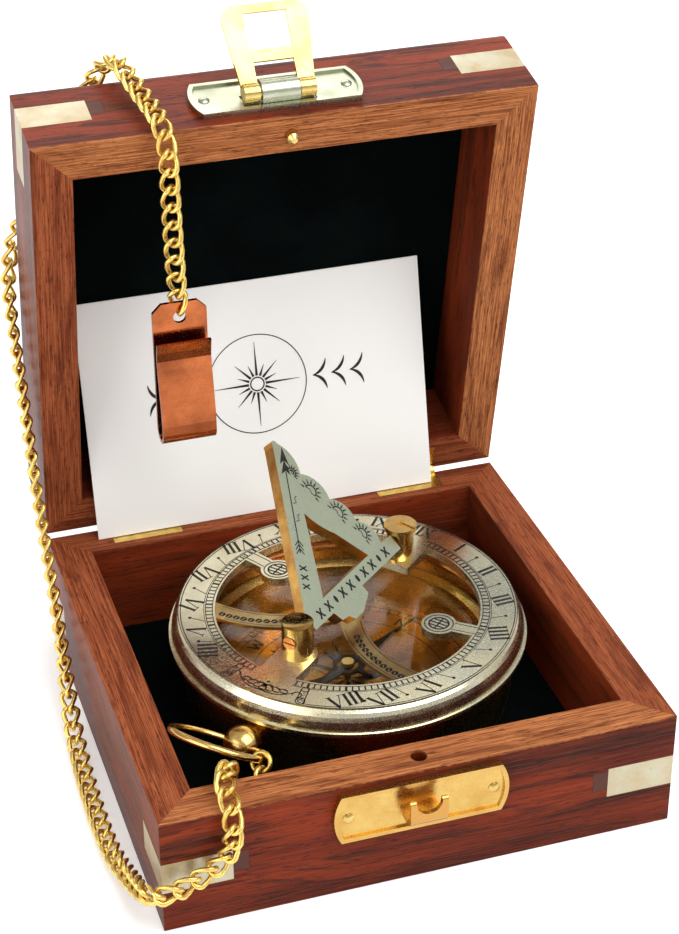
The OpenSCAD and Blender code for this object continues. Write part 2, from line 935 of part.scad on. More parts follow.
module compass_card() {
    color(pale_brass)
        translate([dial_x, dial_y, card_disc_z])
            difference() {
                cylinder(r = case_in_r - 0.2, h = card_disc_t);
                cylinder(r = 0.7 + fit, h = 4, center = true);
            }
}

module needle_pivot() {
    color(steel)
        translate([dial_x, dial_y, card_disc_z]) {
            cylinder(r = 0.7, h = 2.6);
            translate([0, 0, 2.6])
                cylinder(r1 = 0.7, r2 = 0.15, h = needle_z + 0.2 - card_disc_z - 2.6, $fn = 48);
        }
}

// A ring hub with a cross bar, two long points along the needle and two short ones across it
module needle() {
    hub = 3.2;
    color(steel)
        translate([dial_x, dial_y, needle_z])
            rotate([0, 0, noon - 10])
                difference() {
                    linear_extrude(needle_t) {
                        difference() {
                            circle(hub);
                            circle(hub - 0.9);
                        }
                        translate([-hub + 0.4, -0.7])
                            square([2 * hub - 0.8, 1.4]);
                        circle(1.4);
                        for (turn = [0, 180])
                            rotate(turn)
                                polygon([[hub - 0.5, -1.3], [needle_len / 2 * 0.62, -0.5], [needle_len / 2, 0],
                                    [needle_len / 2 * 0.62, 0.5], [hub - 0.5, 1.3]]);
                        for (turn = [90, 270])
                            rotate(turn)
                                polygon([[hub - 0.5, -0.8], [hub + 3.4, 0], [hub - 0.5, 0.8]]);
                    }
                    cylinder(r = 0.9, h = 3, center = true);
                }
}

module needle_cap() {
    color(brass)
        translate([dial_x, dial_y, needle_z])
            difference() {
                union() {
                    cylinder(r = 0.85, h = 1.2);
                    translate([0, 0, needle_t])
                        cylinder(r = 1.3, h = 0.7);
                }
                translate([0, 0, -eps])
                    cylinder(r = 0.5, h = 0.6);
            }
}

module glass() {
    color([0.85, 0.93, 0.95, 0.35])
        translate([dial_x, dial_y, glass_z])
            cylinder(r = case_in_r - 0.15, h = glass_t);
}

module bezel_ring() {
    color(copper)
        translate([dial_x, dial_y, glass_z + glass_t])
            rotate_extrude()
                polygon([[bezel_in_r, 0], [case_in_r - 0.1, 0], [case_in_r - 0.1, bezel_t],
                    [bezel_in_r + 0.8, bezel_t], [bezel_in_r, bezel_t - 0.8]]);
}

// Dial plate with its rounded shoulder and thin lip, the lugs for the two posts and the two
// round-ended tabs
module dial_ring() {
    plate = face_z - dial_t;
    shoulder = [for (a = [0 : 15 : 75]) [lip_r - 3.1 + 2.6 * cos(a), case_top + 0.8 + 4.2 * sin(a)]];
    color(pale_brass)
        at_dial()
            difference() {
                union() {
                    rotate_extrude()
                        polygon(concat([[spigot_r + 0.15, case_top], [lip_r, case_top], [lip_r, case_top + 0.8]],
                            shoulder, [[lip_r - 2.2, face_z], [window_r, face_z], [window_r, plate],
                            [spigot_r + 0.15, plate]]));
                    translate([0, 0, plate])
                        linear_extrude(dial_t) {
                            translate([far_post_at - post_r - 0.6, -lug_w / 2])
                                square([window_r + 2 - far_post_at + post_r, lug_w]);
                            translate([-window_r - 1.4, -lug_w / 2])
                                square([window_r + 1.4 - near_post_at, lug_w]);
                            translate([-near_post_at, 0])
                                circle(lug_w / 2);
                            for (turn = [-tab_turn, tab_turn])
                                rotate(turn) {
                                    translate([tab_at, 0])
                                        circle(tab_r);
                                    translate([tab_at, -tab_stem_w / 2])
                                        square([window_r + 1 - tab_at, tab_stem_w]);
                                }
                        }
                }
                for (x = [-near_post_at, far_post_at])
                    translate([x, 0, plate - 1])
                        cylinder(r = 1.1 + fit, h = dial_t + 2);
            }
}

// Two curved arms that lie under the plate and meet at the middle
module dial_arms() {
    color(brass)
        at_dial()
            translate([0, 0, arm_z])
                linear_extrude(arm_t) {
                    circle(3.4);
                    for (side = [0, 1])
                        mirror([0, side])
                            intersection() {
                                rotate(118)
                                    translate([arm_turn_at, -arm_bow * 0.86])
                                        difference() {
                                            circle(arm_bow + arm_w / 2);
                                            circle(arm_bow - arm_w / 2);
                                        }
                                circle(window_r + 3.4);
                                rotate(118)
                                    translate([-1, -8])
                                        square([window_r + 7, 20]);
                            }
                }
}

module post(x, cap) {
    difference() {
        union() {
            translate([x, 0, face_z])
                cylinder(r = cap ? post_r - 0.35 : post_r, h = post_h);
            if (cap)
                translate([x, 0, face_z + post_h - 1.1])
                    cylinder(r = post_r + 0.25, h = 1.1);
        }
        translate([x, 0, pivot_z])
            rotate([0, 90, 0])
                cylinder(r = pivot_r + fit, h = 3 * post_r, center = true);
        translate([x, 0, face_z - 1])
            cylinder(r = 1.1 + fit, h = 3.3);
        translate([x + (x < 0 ? -post_r - 0.2 : post_r + 0.2), 0, pivot_z])
            rotate([0, 90, 0])
                cylinder(r = 1.5, h = 2.4, center = true);
    }
}

module near_post() {
    color(brass)
        at_dial()
            difference() {
                post(-near_post_at, false);
                translate([-near_post_at, 0, face_z + post_h + 11.6])
                    sphere(12, $fn = 64);
            }
}

module far_post() {
    color(brass)
        at_dial()
            difference() {
                post(far_post_at, true);
                translate([far_post_at, 0, face_z + post_h - 0.5])
                    cylinder(r = 0.7, h = 2);
                translate([far_post_at, -0.35, face_z + post_h - 0.5])
                    rotate([0, 0, -100])
                        cube([6, 0.7, 2]);
            }
}

module post_screws() {
    color(steel)
        at_dial()
            for (x = [-near_post_at, far_post_at])
                translate([x, 0, face_z - dial_t]) {
                    translate([0, 0, -0.8])
                        cylinder(r = 2.2, h = 0.8);
                    cylinder(r = 1.1, h = dial_t + 2);
                }
}

// Each pivot screw passes through its post into the end of the gnomon's bar
module pivot_screws() {
    color(copper)
        at_dial()
            for (side = [0, 1]) {
                x = side == 0 ? -near_post_at : far_post_at;
                translate([x, 0, pivot_z])
                    mirror([side, 0, 0])
                        rotate([0, 90, 0])
                            difference() {
                                union() {
                                    translate([0, 0, -post_r + 0.4])
                                        cylinder(r = pivot_r, h = 2 * post_r + 2);
                                    translate([0, 0, -post_r - 0.1])
                                        cylinder(r = 1.4, h = 0.9);
                                }
                                translate([-0.2, -2, -post_r - 1.1])
                                    cube([0.4, 4, 1.4]);
                            }
            }
}

// Gnomon. Its outline is drawn in the plate: s runs along the hinge line from the near post,
// h stands up from it.
// The bar's length and the tip's height carry all its points with them.
function plate(s, h) = [s * axis_len / 41.2, h * gnomon_h / 33];
bar_low = -1.6;
bar_high = 1.9;
style_foot = plate(4.4, 1.9);
cusps = [plate(27.4, 24), plate(29.7, 16.1), plate(31.9, 9), plate(33.8, 2)];
window_corners = [plate(10.6, 2.1), plate(21.2, 17.4), plate(28.6, 2.1)];
window_bulge = plate(38.9, 21.5);
window_bulge_r = norm(window_bulge - window_corners[1]) + 0.03;

// Points along a round lobe that stands out of the chord from a to b by the given rise
function lobe(a, b, rise) =
    let (half = norm(b - a) / 2, lobe_r = (half * half + rise * rise) / (2 * rise),
        middle = (a + b) / 2, along = unit(b - a), out = [-along[1], along[0]],
        sweep = asin(half / lobe_r))
    [for (k = [1 : 11]) middle + out * (rise - lobe_r)
        + lobe_r * (along * sin(sweep * (k / 6 - 1)) + out * cos(sweep * (k / 6 - 1)))];

module gnomon_outline() {
    tip = plate(27.5, 33);
    tab_mid = axis_len / 2 - 4.6;
    shoulder = [tip[0], tip[1] - 1.2];
    ends = [post_r + 0.35, axis_len - post_r - 0.35];
    difference() {
        polygon(concat([[ends[0], bar_low], style_foot - [0.9, 0], tip - [1.6, 1.1], tip - [1.1, 0.2],
            tip - [0.5, 0.1], tip - [0.1, 0.5], shoulder], lobe(shoulder, cusps[0], 1.2), [cusps[0]],
            lobe(cusps[0], cusps[1], 1.5), [cusps[1]], lobe(cusps[1], cusps[2], 1.5), [cusps[2]],
            lobe(cusps[2], cusps[3], 1.5), [cusps[3], [ends[1], bar_high], [ends[1], bar_low],
            [tab_mid + 5.7, bar_low], [tab_mid + 5.8, -3.6], [tab_mid + 3, -4.9], [tab_mid + 1.6, -5.6],
            [tab_mid - 1.6, -5.6], [tab_mid - 2.6, -4.2], [tab_mid - 4.8, -3.9], [tab_mid - 5.6, bar_low]]));
        difference() {
            polygon(window_corners);
            translate(window_bulge)
                circle(window_bulge_r);
        }
    }
}

module gnomon() {
    color(pale_brass)
        at_dial()
            translate([-near_post_at, 0, pivot_z])
                rotate([90 - gnomon_lean, 0, 0])
                    difference() {
                        translate([0, 0, -gnomon_t / 2])
                            linear_extrude(gnomon_t)
                                gnomon_outline();
                        for (x = [post_r, axis_len - post_r])
                            translate([x, 0, 0])
                                rotate([0, 90, 0])
                                    cylinder(r = pivot_r + fit, h = 5.6, center = true);
                    }
}

// Pendant

module at_crown() {
    translate([dial_x, dial_y, crown_z])
        rotate([0, 0, crown_turn])
            rotate([0, 90, 0])
                children();
}

module crown_stem() {
    color(brass)
        at_crown()
            rotate_extrude()
                polygon([[0, case_in_r + 0.2], [1.3, case_in_r + 0.2], [1.3, case_r + 0.05], [2.4, case_r + 0.05],
                    [2.4, case_r + 0.7], [1.7, case_r + 0.9], [1.7, case_r + 1.3], [2.2, case_r + 1.5],
                    [2.2, case_r + 2.1], [0, case_r + 2.1]]);
}

module crown_ball() {
    color(brass)
        translate(ball_at)
            rotate([0, 0, crown_turn])
                difference() {
                    union() {
                        sphere(ball_r, $fn = 96);
                        translate([-ball_r - 0.1, 0, 0])
                            rotate([0, 90, 0])
                                cylinder(r = 1.5, h = 2);
                    }
                    rotate([90, 0, 0])
                        cylinder(r = bow_wire + 0.78, h = 3 * ball_r, center = true);
                    translate([-crown_at + case_r + 1.1, 0, 0])
                        cube([2, 8, 8], center = true);
                }
}

module bow() {
    color(gold)
        translate(bow_centre)
            rotate([0, 0, crown_turn])
                rotate([0, -bow_tilt, 0])
                    rotate_extrude()
                        translate([bow_r, 0])
                            circle(bow_wire, $fn = 32);
}

// The jump ring hangs round the bow's wire at the end nearest the front wall
module jump_ring() {
    color(gold)
        translate(bow_end + jump_hang)
            rotate([0, 0, crown_turn])
                rotate([0, 90 - bow_tilt, 0])
                    rotate_extrude()
                        translate([jump_r, 0])
                            circle(jump_wire, $fn = 32);
}

// Chain

module link() {
    middle_r = link_w / 2 - chain_wire;
    straight = link_len - link_w;
    for (side = [-1, 1]) {
        translate([side * straight / 2, 0, 0])
            rotate([0, 0, side * 90 - 90 + 270])
                rotate_extrude(angle = 180)
                    translate([middle_r, 0])
                        circle(chain_wire, $fn = 24);
        translate([0, side * middle_r, 0])
            rotate([0, 90, 0])
                cylinder(r = chain_wire, h = straight, center = true, $fn = 24);
    }
}

// A link spans two neighbouring spots of the way, rolled to one side or the other so that
// neighbours cross at a right angle
module link_at(i) {
    from = way_at(link_spot(i));
    to = way_at(link_spot(i + 1));
    here = (from + to) / 2;
    ahead = unit(to - from);
    across = unit(cross(way_up(link_spot(i + 0.5)), ahead));
    above = cross(ahead, across);
    multmatrix([[ahead[0], across[0], above[0], here[0]],
        [ahead[1], across[1], above[1], here[1]],
        [ahead[2], across[2], above[2], here[2]],
        [0, 0, 0, 1]])
        rotate([i % 2 == 0 ? 45 : -45, 0, 0])
            link();
}

module chain_links(numbers) {
    color(gold)
        for (i = numbers)
            link_at(i);
}

module chain_front() {
    chain_links(front_links);
}

module chain_side() {
    chain_links(side_links);
}

module chain_lid() {
    chain_links(lid_links);
}

// Belt clip: a strip folded at the foot, with a bowed tongue in front of its back leaf
module clip_side() {
    bend = 1.9;
    tongue = [for (k = [0 : 10]) [-2 * bend + 2.6 * sin(k * 9) * sin(k * 9) + (k > 8 ? -(k - 8) * 0.5 : 0), k * 1.95]];
    outer = [for (p = tongue) p - [clip_t, 0]];
    square([clip_t, clip_h]);
    difference() {
        translate([-bend, 0])
            circle(bend + clip_t);
        translate([-bend, 0])
            circle(bend);
        translate([-3 * bend, 0])
            square(6 * bend);
    }
    polygon(concat(tongue, [for (k = [10 : -1 : 0]) outer[k]]));
}

module belt_clip() {
    low = clip_top_z - clip_h;
    color(copper)
        translate([clip_x, clip_y, low])
            difference() {
                along_x(clip_w)
                    clip_side();
                translate([0, 0, clip_h - clip_hole_drop])
                    rotate([90, 0, 0])
                        cylinder(r = clip_hole_r, h = 6, center = true);
                for (side = [-1, 1])
                    translate([side * clip_w / 2, 0, clip_h])
                        rotate([0, 45, 0])
                            cube([2.6, 20, 2.6], center = true);
            }
}

base_front_wall();
base_back_wall();
base_left_wall();
base_right_wall();
base_bottom_board();
base_lining();
base_corner_inlays();
base_corner_plugs();
catch_plate();
catch_nails();
hinge_base_leaves();
hinge_pins();
hinge_base_screws();
lid_front_wall();
lid_back_wall();
lid_left_wall();
lid_right_wall();
lid_top_board();
lid_lining();
lid_corner_inlays();
lid_corner_plugs();
locating_pin();
hasp_plate();
hasp_nails();
hinge_lid_leaves();
hinge_lid_screws();
card();
hasp_flap();
hasp_pin();
compass_case();
inner_sleeve();
compass_card();
needle_pivot();
needle();
needle_cap();
glass();
bezel_ring();
dial_ring();
dial_arms();
near_post();
far_post();
post_screws();
pivot_screws();
gnomon();
crown_stem();
crown_ball();
bow();
jump_ring();
chain_front();
chain_side();
chain_lid();
belt_clip();
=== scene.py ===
# %% [markdown]
# # A sundial compass in its box
#
# The imported model brings every rigid piece of this object in its true size and place: the
# mitred box, the latch, the compass and the folding gnomon. This lesson gives them their
# finishes, and makes the pieces that a solid model leaves plain: the engraving, the printed
# compass card and a chain of curb links.

# %% Load the model
import math

import bpy
from mathutils import Matrix, Vector


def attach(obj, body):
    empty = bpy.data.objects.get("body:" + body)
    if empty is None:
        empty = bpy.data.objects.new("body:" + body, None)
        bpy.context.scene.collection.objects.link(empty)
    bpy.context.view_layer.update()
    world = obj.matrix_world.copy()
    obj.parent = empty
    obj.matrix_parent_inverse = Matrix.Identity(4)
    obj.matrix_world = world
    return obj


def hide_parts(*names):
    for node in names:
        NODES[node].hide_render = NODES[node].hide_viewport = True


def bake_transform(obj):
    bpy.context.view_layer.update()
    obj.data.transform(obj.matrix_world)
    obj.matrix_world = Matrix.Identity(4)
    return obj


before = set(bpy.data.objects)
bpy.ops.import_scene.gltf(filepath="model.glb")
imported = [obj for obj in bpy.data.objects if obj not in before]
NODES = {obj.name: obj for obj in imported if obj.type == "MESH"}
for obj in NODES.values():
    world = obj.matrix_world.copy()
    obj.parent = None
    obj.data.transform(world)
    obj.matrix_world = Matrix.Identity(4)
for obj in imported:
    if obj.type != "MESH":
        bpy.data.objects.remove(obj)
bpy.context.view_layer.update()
MM = 0.001
print("CAD pieces:", len(NODES))

# %% [markdown]
# ## Camera
#
# The photograph was taken from the front left, looking down, through a longish lens. A lens
# of 85 mm keeps the sides of the box nearly parallel, as they are there. The camera's
# directions are written as vectors, so that nothing else has to be aimed.

# %% Camera
lens_mm = 85.0
camera = bpy.data.objects.new("camera", bpy.data.cameras.new("camera"))
camera.data.lens = lens_mm
camera.data.sensor_width = 36
camera.data.clip_start = 0.01
ahead = Vector((0.26148, 0.81346, -0.51953)).normalized()
right = Vector((0.95135, -0.30809, -0.00359)).normalized()
up = right.cross(ahead)
turn = Matrix((right, up, -ahead)).transposed().to_4x4()
camera.matrix_world = Matrix.Translation(Vector((-112.9, -348.9, 285.3)) * MM) @ turn
bpy.context.scene.collection.objects.link(camera)
bpy.context.scene.camera = camera
bpy.context.scene.view_settings.view_transform = "Standard"
print("camera at, m:", [round(v, 3) for v in camera.matrix_world.translation])

# %% [markdown]
# ## Small helpers for meshes
#
# Nearly all the added pieces are lists of points and faces in millimetres. One helper turns
# them into an object in metres that rides on a body of the model. Most of their points lie on
# circles, so a second helper gives a point by its radius and its angle in degrees.

# %% Mesh helpers
def polar(radius, degrees, x=0.0, y=0.0):
    """A point at a radius and an angle from a middle."""
    a = math.radians(degrees)
    return x + radius * math.cos(a), y + radius * math.sin(a)


def new_piece(name, points, faces, body, material=None, smooth=False):
    mesh = bpy.data.meshes.new(name)
    mesh.from_pydata([Vector(p) * MM for p in points], [], faces)
    mesh.update()
    piece = bpy.data.objects.new(name, mesh)
    bpy.context.scene.collection.objects.link(piece)
    if smooth:
        mesh.shade_smooth()
    if material:
        mesh.materials.append(material)
    if body:
        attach(piece, body)
    return piece

# %% [markdown]
# ## Chain
#
# The chain runs from the bow over the front of the box, round its left side and up behind the
# lid, and hangs down to the clip. A simulation would give a different fall each time, so it
# follows the same route as in the model. Each row below is a place and the direction that the
# chain's flat side faces there, and a smooth curve goes through them.

# %% Route of the chain
chain_way = [
    [-27.8, -35, 21, -0.87, 0.15, 0.19], [-28.1, -37.1, 18.1, -0.87, 0.41, 0.31],
    [-30.3, -38.8, 16.1, -0.97, 0.2, 0.3], [-31.8, -39.3, 14.7, 0.08, 0.78, 0.59],
    [-33.3, -39.1, 17.4, 0.34, 0.77, 0.15], [-35.9, -39.1, 20.7, 0.7, 1, -0.25],
    [-35.1, -39.1, 26, 0.5, 0.91, 0.45], [-34.9, -39.6, 27.7, 0.79, 1.42, 1.1],
    [-36.9, -43.6, 29.2, 0.28, 0.14, 0.98], [-37.9, -47.1, 28.7, -0.04, -0.08, 0.94],
    [-37.6, -50.6, 27.2, 0.01, -0.58, 0.81], [-38, -52.6, 24.2, 0, -0.97, 0.24],
    [-38.2, -52.4, 20, 0, -1, 0], [-39.2, -51.7, 16.6, 0, -1, 0], [-41.8, -51.4, 14, 0, -1, 0],
    [-45.4, -51.8, 12.6, 0, -1, 0], [-49.2, -52.6, 11.8, -0.2, -1, 0], [-52.4, -52, 11, -0.7, -0.7, 0],
    [-54.2, -49.4, 10, -1, -0.3, 0], [-54.6, -45.8, 8.4, -1, 0, 0.2], [-54.8, -41, 6.2, -1, 0, 0.4],
    [-55.2, -35, 4, -0.8, 0, 0.6], [-55.8, -28, 2.6, -0.5, 0, 0.9], [-56, -20, 2, -0.2, 0, 1],
    [-56, -12, 2, 0, 0, 1], [-55.8, -4, 2, 0, 0, 1], [-55.4, 4, 2.2, -0.2, 0, 1],
    [-55, 11, 3.6, -0.5, 0, 0.9], [-54.4, 18, 7, -0.8, 0, 0.6], [-53.8, 24, 11.4, -1, 0, 0.3],
    [-53.4, 29.4, 16.8, -1, 0, 0.1], [-53.2, 34.4, 23, -1, 0, 0], [-53.2, 39, 30, -1, 0, 0],
    [-53.2, 43.4, 38, -1, 0, 0], [-53.2, 47.2, 46, -1, 0, 0], [-53.2, 50.6, 55, -1, 0, 0],
    [-53.2, 54, 65, -1, 0, 0], [-53.2, 57.2, 74, -1, 0.2, 0], [-52.8, 60.4, 82, -0.9, 0.5, 0],
    [-51, 62.2, 89.6, -0.6, 0.8, 0.1], [-47.6, 61.2, 97, -0.2, 1, 0.2], [-43.4, 58.8, 106, 0, 1, 0.2],
    [-39.4, 57.2, 114, 0, 1, 0.2], [-35.6, 56.6, 121, 0, 1, 0.3], [-32.8, 55.6, 126.4, 0, 0.9, 0.5],
    [-30.8, 53, 130, 0, 0.6, 0.8], [-29.4, 49, 130.8, 0, 0.1, 1], [-28.2, 43.6, 129, 0, -0.2, 1],
    [-27.2, 38.2, 127.4, 0, -0.2, 1], [-26.4, 33, 126.4, 0, -0.3, 1],
    [-25.9, 29.4, 124.8, 0, -0.7, 0.7], [-25.6, 27.6, 121.4, 0, -1, 0.3], [-25.5, 27.4, 116, 0, -1, 0],
    [-25.4, 27.6, 108, 0, -1, 0], [-25.2, 27.6, 98, -0.35, -0.9, 0], [-25, 27.6, 92, -0.7, -0.7, 0],
    [-24.8, 27.6, 87.1, -0.7, -0.7, 0],
]
STEPS = 6  # pieces of curve between two rows


def on_curve(a, b, c, d, t):
    return [0.5 * (2 * q + (r - p) * t + (2 * p - 5 * q + 4 * r - s) * t * t
                   + (3 * q - p - 3 * r + s) * t ** 3) for p, q, r, s in zip(a, b, c, d)]


last = len(chain_way) - 1
rows = [on_curve(chain_way[max(i - 1, 0)], chain_way[i], chain_way[i + 1],
                 chain_way[min(i + 2, last)], j / STEPS)
        for i in range(last) for j in range(STEPS)] + [chain_way[last]]
run = [0.0]
for before, after in zip(rows, rows[1:]):
    run.append(run[-1] + (Vector(after[:3]) - Vector(before[:3])).length)
print("chain's way, mm:", round(run[-1], 1))


def way_at(s):
    s = min(max(s, 0), run[-1])
    i = max(k for k in range(len(run)) if run[k] <= s)
    if i == len(run) - 1:
        return rows[i]
    t = (s - run[i]) / (run[i + 1] - run[i])
    return [p + (q - p) * t for p, q in zip(rows[i], rows[i + 1])]

# %% [markdown]
# The links are curb links. Each is twisted a quarter turn along its length, so that all of
# them lie alike and still pass squarely through each other. Every link spans two neighbouring
# spots of the route. The whole chain is one mesh.

# %% Links of the chain
link_long, link_wide, link_wire, link_play = 6.0, 4.2, 0.52, 0.36
link_pitch = link_long - 2.0 - link_play
link_count = int(run[-1] // link_pitch)
AROUND, RING = 28, 10  # points along a link's centreline, and round its wire


def link_path(k):
    """A point of the link's centreline: two half circles joined by straight sides."""
    bend = link_wide / 2 - 0.5
    straight = (link_long - link_wide) / 2
    a = 2 * math.pi * k / AROUND
    x = bend * math.cos(a) + (straight if math.cos(a) > 0 else -straight)
    if abs(math.cos(a)) < 1e-6:  # halfway along a side
        x = 0
    return Vector((x, bend * math.sin(a), 0))


def link_mesh(start, end, facing, first_roll, last_roll):
    """One link: its near end is rolled by the first angle, its far end by the last."""
    along = (end - start).normalized()
    across = facing.cross(along).normalized()
    above = along.cross(across)
    place = Matrix((along, across, above)).transposed()
    middle = (start + end) / 2
    path = [link_path(k) for k in range(AROUND)]
    twisted_long = link_long - 1.6
    points = []
    for k in range(AROUND):
        way = (path[(k + 1) % AROUND] - path[k - 1]).normalized()
        out = way.cross(Vector((0, 0, 1))).normalized()
        lift = out.cross(way)
        share = min(max(path[k].x / twisted_long + 0.5, 0), 1)
        twist = Matrix.Rotation(first_roll + (last_roll - first_roll) * share, 3, "X")
        for j in range(RING):
            b = 2 * math.pi * j / RING
            off = link_wire * (out * math.cos(b) + lift * math.sin(b))
            points.append(middle + place @ twist @ (path[k] + off))
    return points


points, faces = [], []
eighth = math.radians(45)
for i in range(link_count):
    s0, s1 = i * run[-1] / link_count, (i + 1) * run[-1] / link_count
    facing = Vector(way_at((s0 + s1) / 2)[3:])
    first = len(points)
    # the first link isn't twisted, so that it can hang in the bow's ring
    points += link_mesh(Vector(way_at(s0)[:3]), Vector(way_at(s1)[:3]), facing,
                        -eighth if i else eighth, eighth)
    for k in range(AROUND):
        for j in range(RING):
            a, b = first + k * RING + j, first + k * RING + (j + 1) % RING
            c = first + (k + 1) % AROUND * RING
            faces.append([a, c + j, c + (j + 1) % RING, b])
chain = new_piece("chain", points, faces, None, smooth=True)
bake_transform(chain)
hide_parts("chain_front", "chain_side", "chain_lid")
print("links:", link_count)

# %% [markdown]

# %% [markdown]
# ## Shader helpers
#
# Materials are networks of nodes. Written out in full they are long, so two helpers keep
# them short: one places a node and connects its inputs, the other starts a node group with
# named sockets.

# %% Node helpers
def fill(tree, socket, value):
    """Connects a socket to another node's, or sets it to a plain value."""
    if isinstance(value, bpy.types.NodeSocket):
        tree.links.new(value, socket)
    else:
        socket.default_value = value


def put(tree, kind, settings=None, **inputs):
    """Adds a node with its settings. An input is called by its name, or by i and its number."""
    node = tree.nodes.new("ShaderNode" + kind)
    for name, value in (settings or {}).items():
        setattr(node, name, value)
    for name, value in inputs.items():
        key = int(name[1:]) if name[1:].isdigit() else name.replace("_", " ")
        fill(tree, node.inputs[key], value)
    return node


def calc(tree, operation, a, b=0.0):
    return put(tree, "Math", {"operation": operation}, i0=a, i1=b).outputs[0]


def times(tree, a, b):
    return calc(tree, "MULTIPLY", a, b)


def span(tree, value, low, high, to_low=0.0, to_high=1.0):
    """Carries a value from one span over to another, and stops it at both ends."""
    return put(tree, "MapRange", {"clamp": True}, i0=value, i1=low, i2=high,
               i3=to_low, i4=to_high).outputs[0]


def blend_colours(tree, amount, a, b, mode="MIX"):
    node = put(tree, "Mix", {"data_type": "RGBA", "blend_type": mode}, i0=amount)
    for socket, value in ((node.inputs[6], a), (node.inputs[7], b)):
        fill(tree, socket, (*value, 1) if isinstance(value, tuple) else value)
    return node.outputs[2]


def noise(tree, where, size, detail=3.0, rough=0.5):
    return put(tree, "TexNoise", None, Vector=where, Scale=size, Detail=detail,
               Roughness=rough).outputs[0]


def object_place(tree):
    return put(tree, "TexCoord").outputs["Object"]


def stretched(tree, where, x, y, z):
    return put(tree, "VectorMath", {"operation": "MULTIPLY"}, i0=where, i1=(x, y, z)).outputs[0]


def new_group(name, inputs, outputs):
    """inputs: name and default of each, a vector where the default has three numbers."""
    tree = bpy.data.node_groups.new(name, "ShaderNodeTree")
    for label, default in inputs:
        kind = "NodeSocketVector" if isinstance(default, tuple) else "NodeSocketFloat"
        socket = tree.interface.new_socket(label, in_out="INPUT", socket_type=kind)
        socket.default_value = default
    for label, kind in outputs:
        tree.interface.new_socket(label, in_out="OUTPUT", socket_type="NodeSocket" + kind)
    given = tree.nodes.new("NodeGroupInput").outputs
    gives = tree.nodes.new("NodeGroupOutput").inputs
    return tree, given, gives


def use_group(tree, group, **inputs):
    node = tree.nodes.new("ShaderNodeGroup")
    node.node_tree = group
    for name, value in inputs.items():
        fill(tree, node.inputs[name], value)
    return node.outputs


def new_material(name, **shader):
    """A material with its Principled shader. Plain numbers go straight on its sockets."""
    material = bpy.data.materials.new(name)
    material.use_nodes = True
    tree = material.node_tree
    shade = next(n for n in tree.nodes if n.type == "BSDF_PRINCIPLED")
    for label, value in shader.items():
        shade.inputs[label.replace("_", " ")].default_value = value
    return material, tree, shade


def sr(r, g, b):
    """A colour given as 0-255 screen values, as the linear values that a shader takes."""
    return tuple(v / 255 / 12.92 if v <= 10 else ((v / 255 + 0.055) / 1.055) ** 2.4
                 for v in (r, g, b))


def add_bump(tree, shade, height, strength, distance):
    """Lets a height stand out of the surface, by a distance in metres."""
    bump = put(tree, "Bump", None, Height=height, Strength=strength, Distance=distance)
    tree.links.new(bump.outputs[0], shade.inputs["Normal"])
    return bump


print("node helpers ready")

# %% [markdown]
# ## Grain of the wood
#
# The box is of a reddish hardwood with dark, wavy streaks, a long fine fibre and short open
# pores. All three are noise that is stretched along the board. The group takes a place in
# millimetres with the grain along its first axis, so one group serves every board.

# %% Group: board grain
board_grain, given, gives = new_group("board grain",
    [("Place", (0.0, 0.0, 0.0)), ("Board", 0.0)],
    [("Streak", "Float"), ("Tone", "Float"), ("Fibre", "Float"), ("Pore", "Float")])
g = board_grain
own = given["Board"]
moved = put(g, "VectorMath", {"operation": "ADD"}, i0=given["Place"],
            i1=put(g, "CombineXYZ", None, X=own, Y=own, Z=own).outputs[0]).outputs[0]
flow = noise(g, stretched(g, moved, 0.012, 0.05, 0.05), 1.0, 2.0)
wavy = put(g, "VectorMath", {"operation": "MULTIPLY_ADD"},
           i0=put(g, "CombineXYZ", None, Y=flow, Z=flow).outputs[0],
           i1=(0.0, 26.0, 26.0), i2=moved).outputs[0]
bands = noise(g, stretched(g, wavy, 0.014, 0.42, 0.42), 1.0, 5.0, 0.62)
g.links.new(span(g, bands, 0.50, 0.63), gives["Streak"])
g.links.new(noise(g, stretched(g, wavy, 0.006, 0.11, 0.11), 1.0, 2.0), gives["Tone"])
g.links.new(noise(g, stretched(g, moved, 0.09, 4.6, 4.6), 1.0, 3.0, 0.6), gives["Fibre"])
pores = noise(g, stretched(g, moved, 0.42, 3.4, 3.4), 1.0, 1.0, 0.5)
g.links.new(span(g, pores, 0.60, 0.70), gives["Pore"])
print("grain nodes:", len(g.nodes))

# %% [markdown]
# ## Finish of the box
#
# The lid stands open, so its boards are turned first into the place that they have when it
# is shut. There both halves meet at one level, and the sawn rims are simply what lies close
# to it.

# %% Place in a board
rim_level = 25.4
HINGE = (0, 50.17, rim_level)
LID_OPEN = math.radians(78.9)


def board_place(tree, opened, along):
    """The place in millimetres with the grain along its first axis, and the box's own axes."""
    place = put(tree, "VectorMath", {"operation": "SCALE"}, i0=object_place(tree), Scale=1 / MM).outputs[0]
    if opened:
        place = put(tree, "VectorRotate", {"rotation_type": "X_AXIS"}, Vector=place,
                    Center=HINGE, Angle=LID_OPEN).outputs[0]
    axes = put(tree, "SeparateXYZ", None, i0=place).outputs
    if along == "y":
        place = put(tree, "CombineXYZ", None, X=axes[1], Y=axes[0], Z=axes[2]).outputs[0]
    return place, axes


print("rims meet at, mm:", rim_level)

# %% [markdown]
# Every board has the same finish: dark streaks and pale fibres on reddish brown, with a thin
# lacquer. The rims are paler, rougher and scored across by the saw, and the lacquer stops
# short of them. Two masks find the rims and the inner sides.

# %% Wood
inner_half_x, inner_half_y = 43.3, 41.6


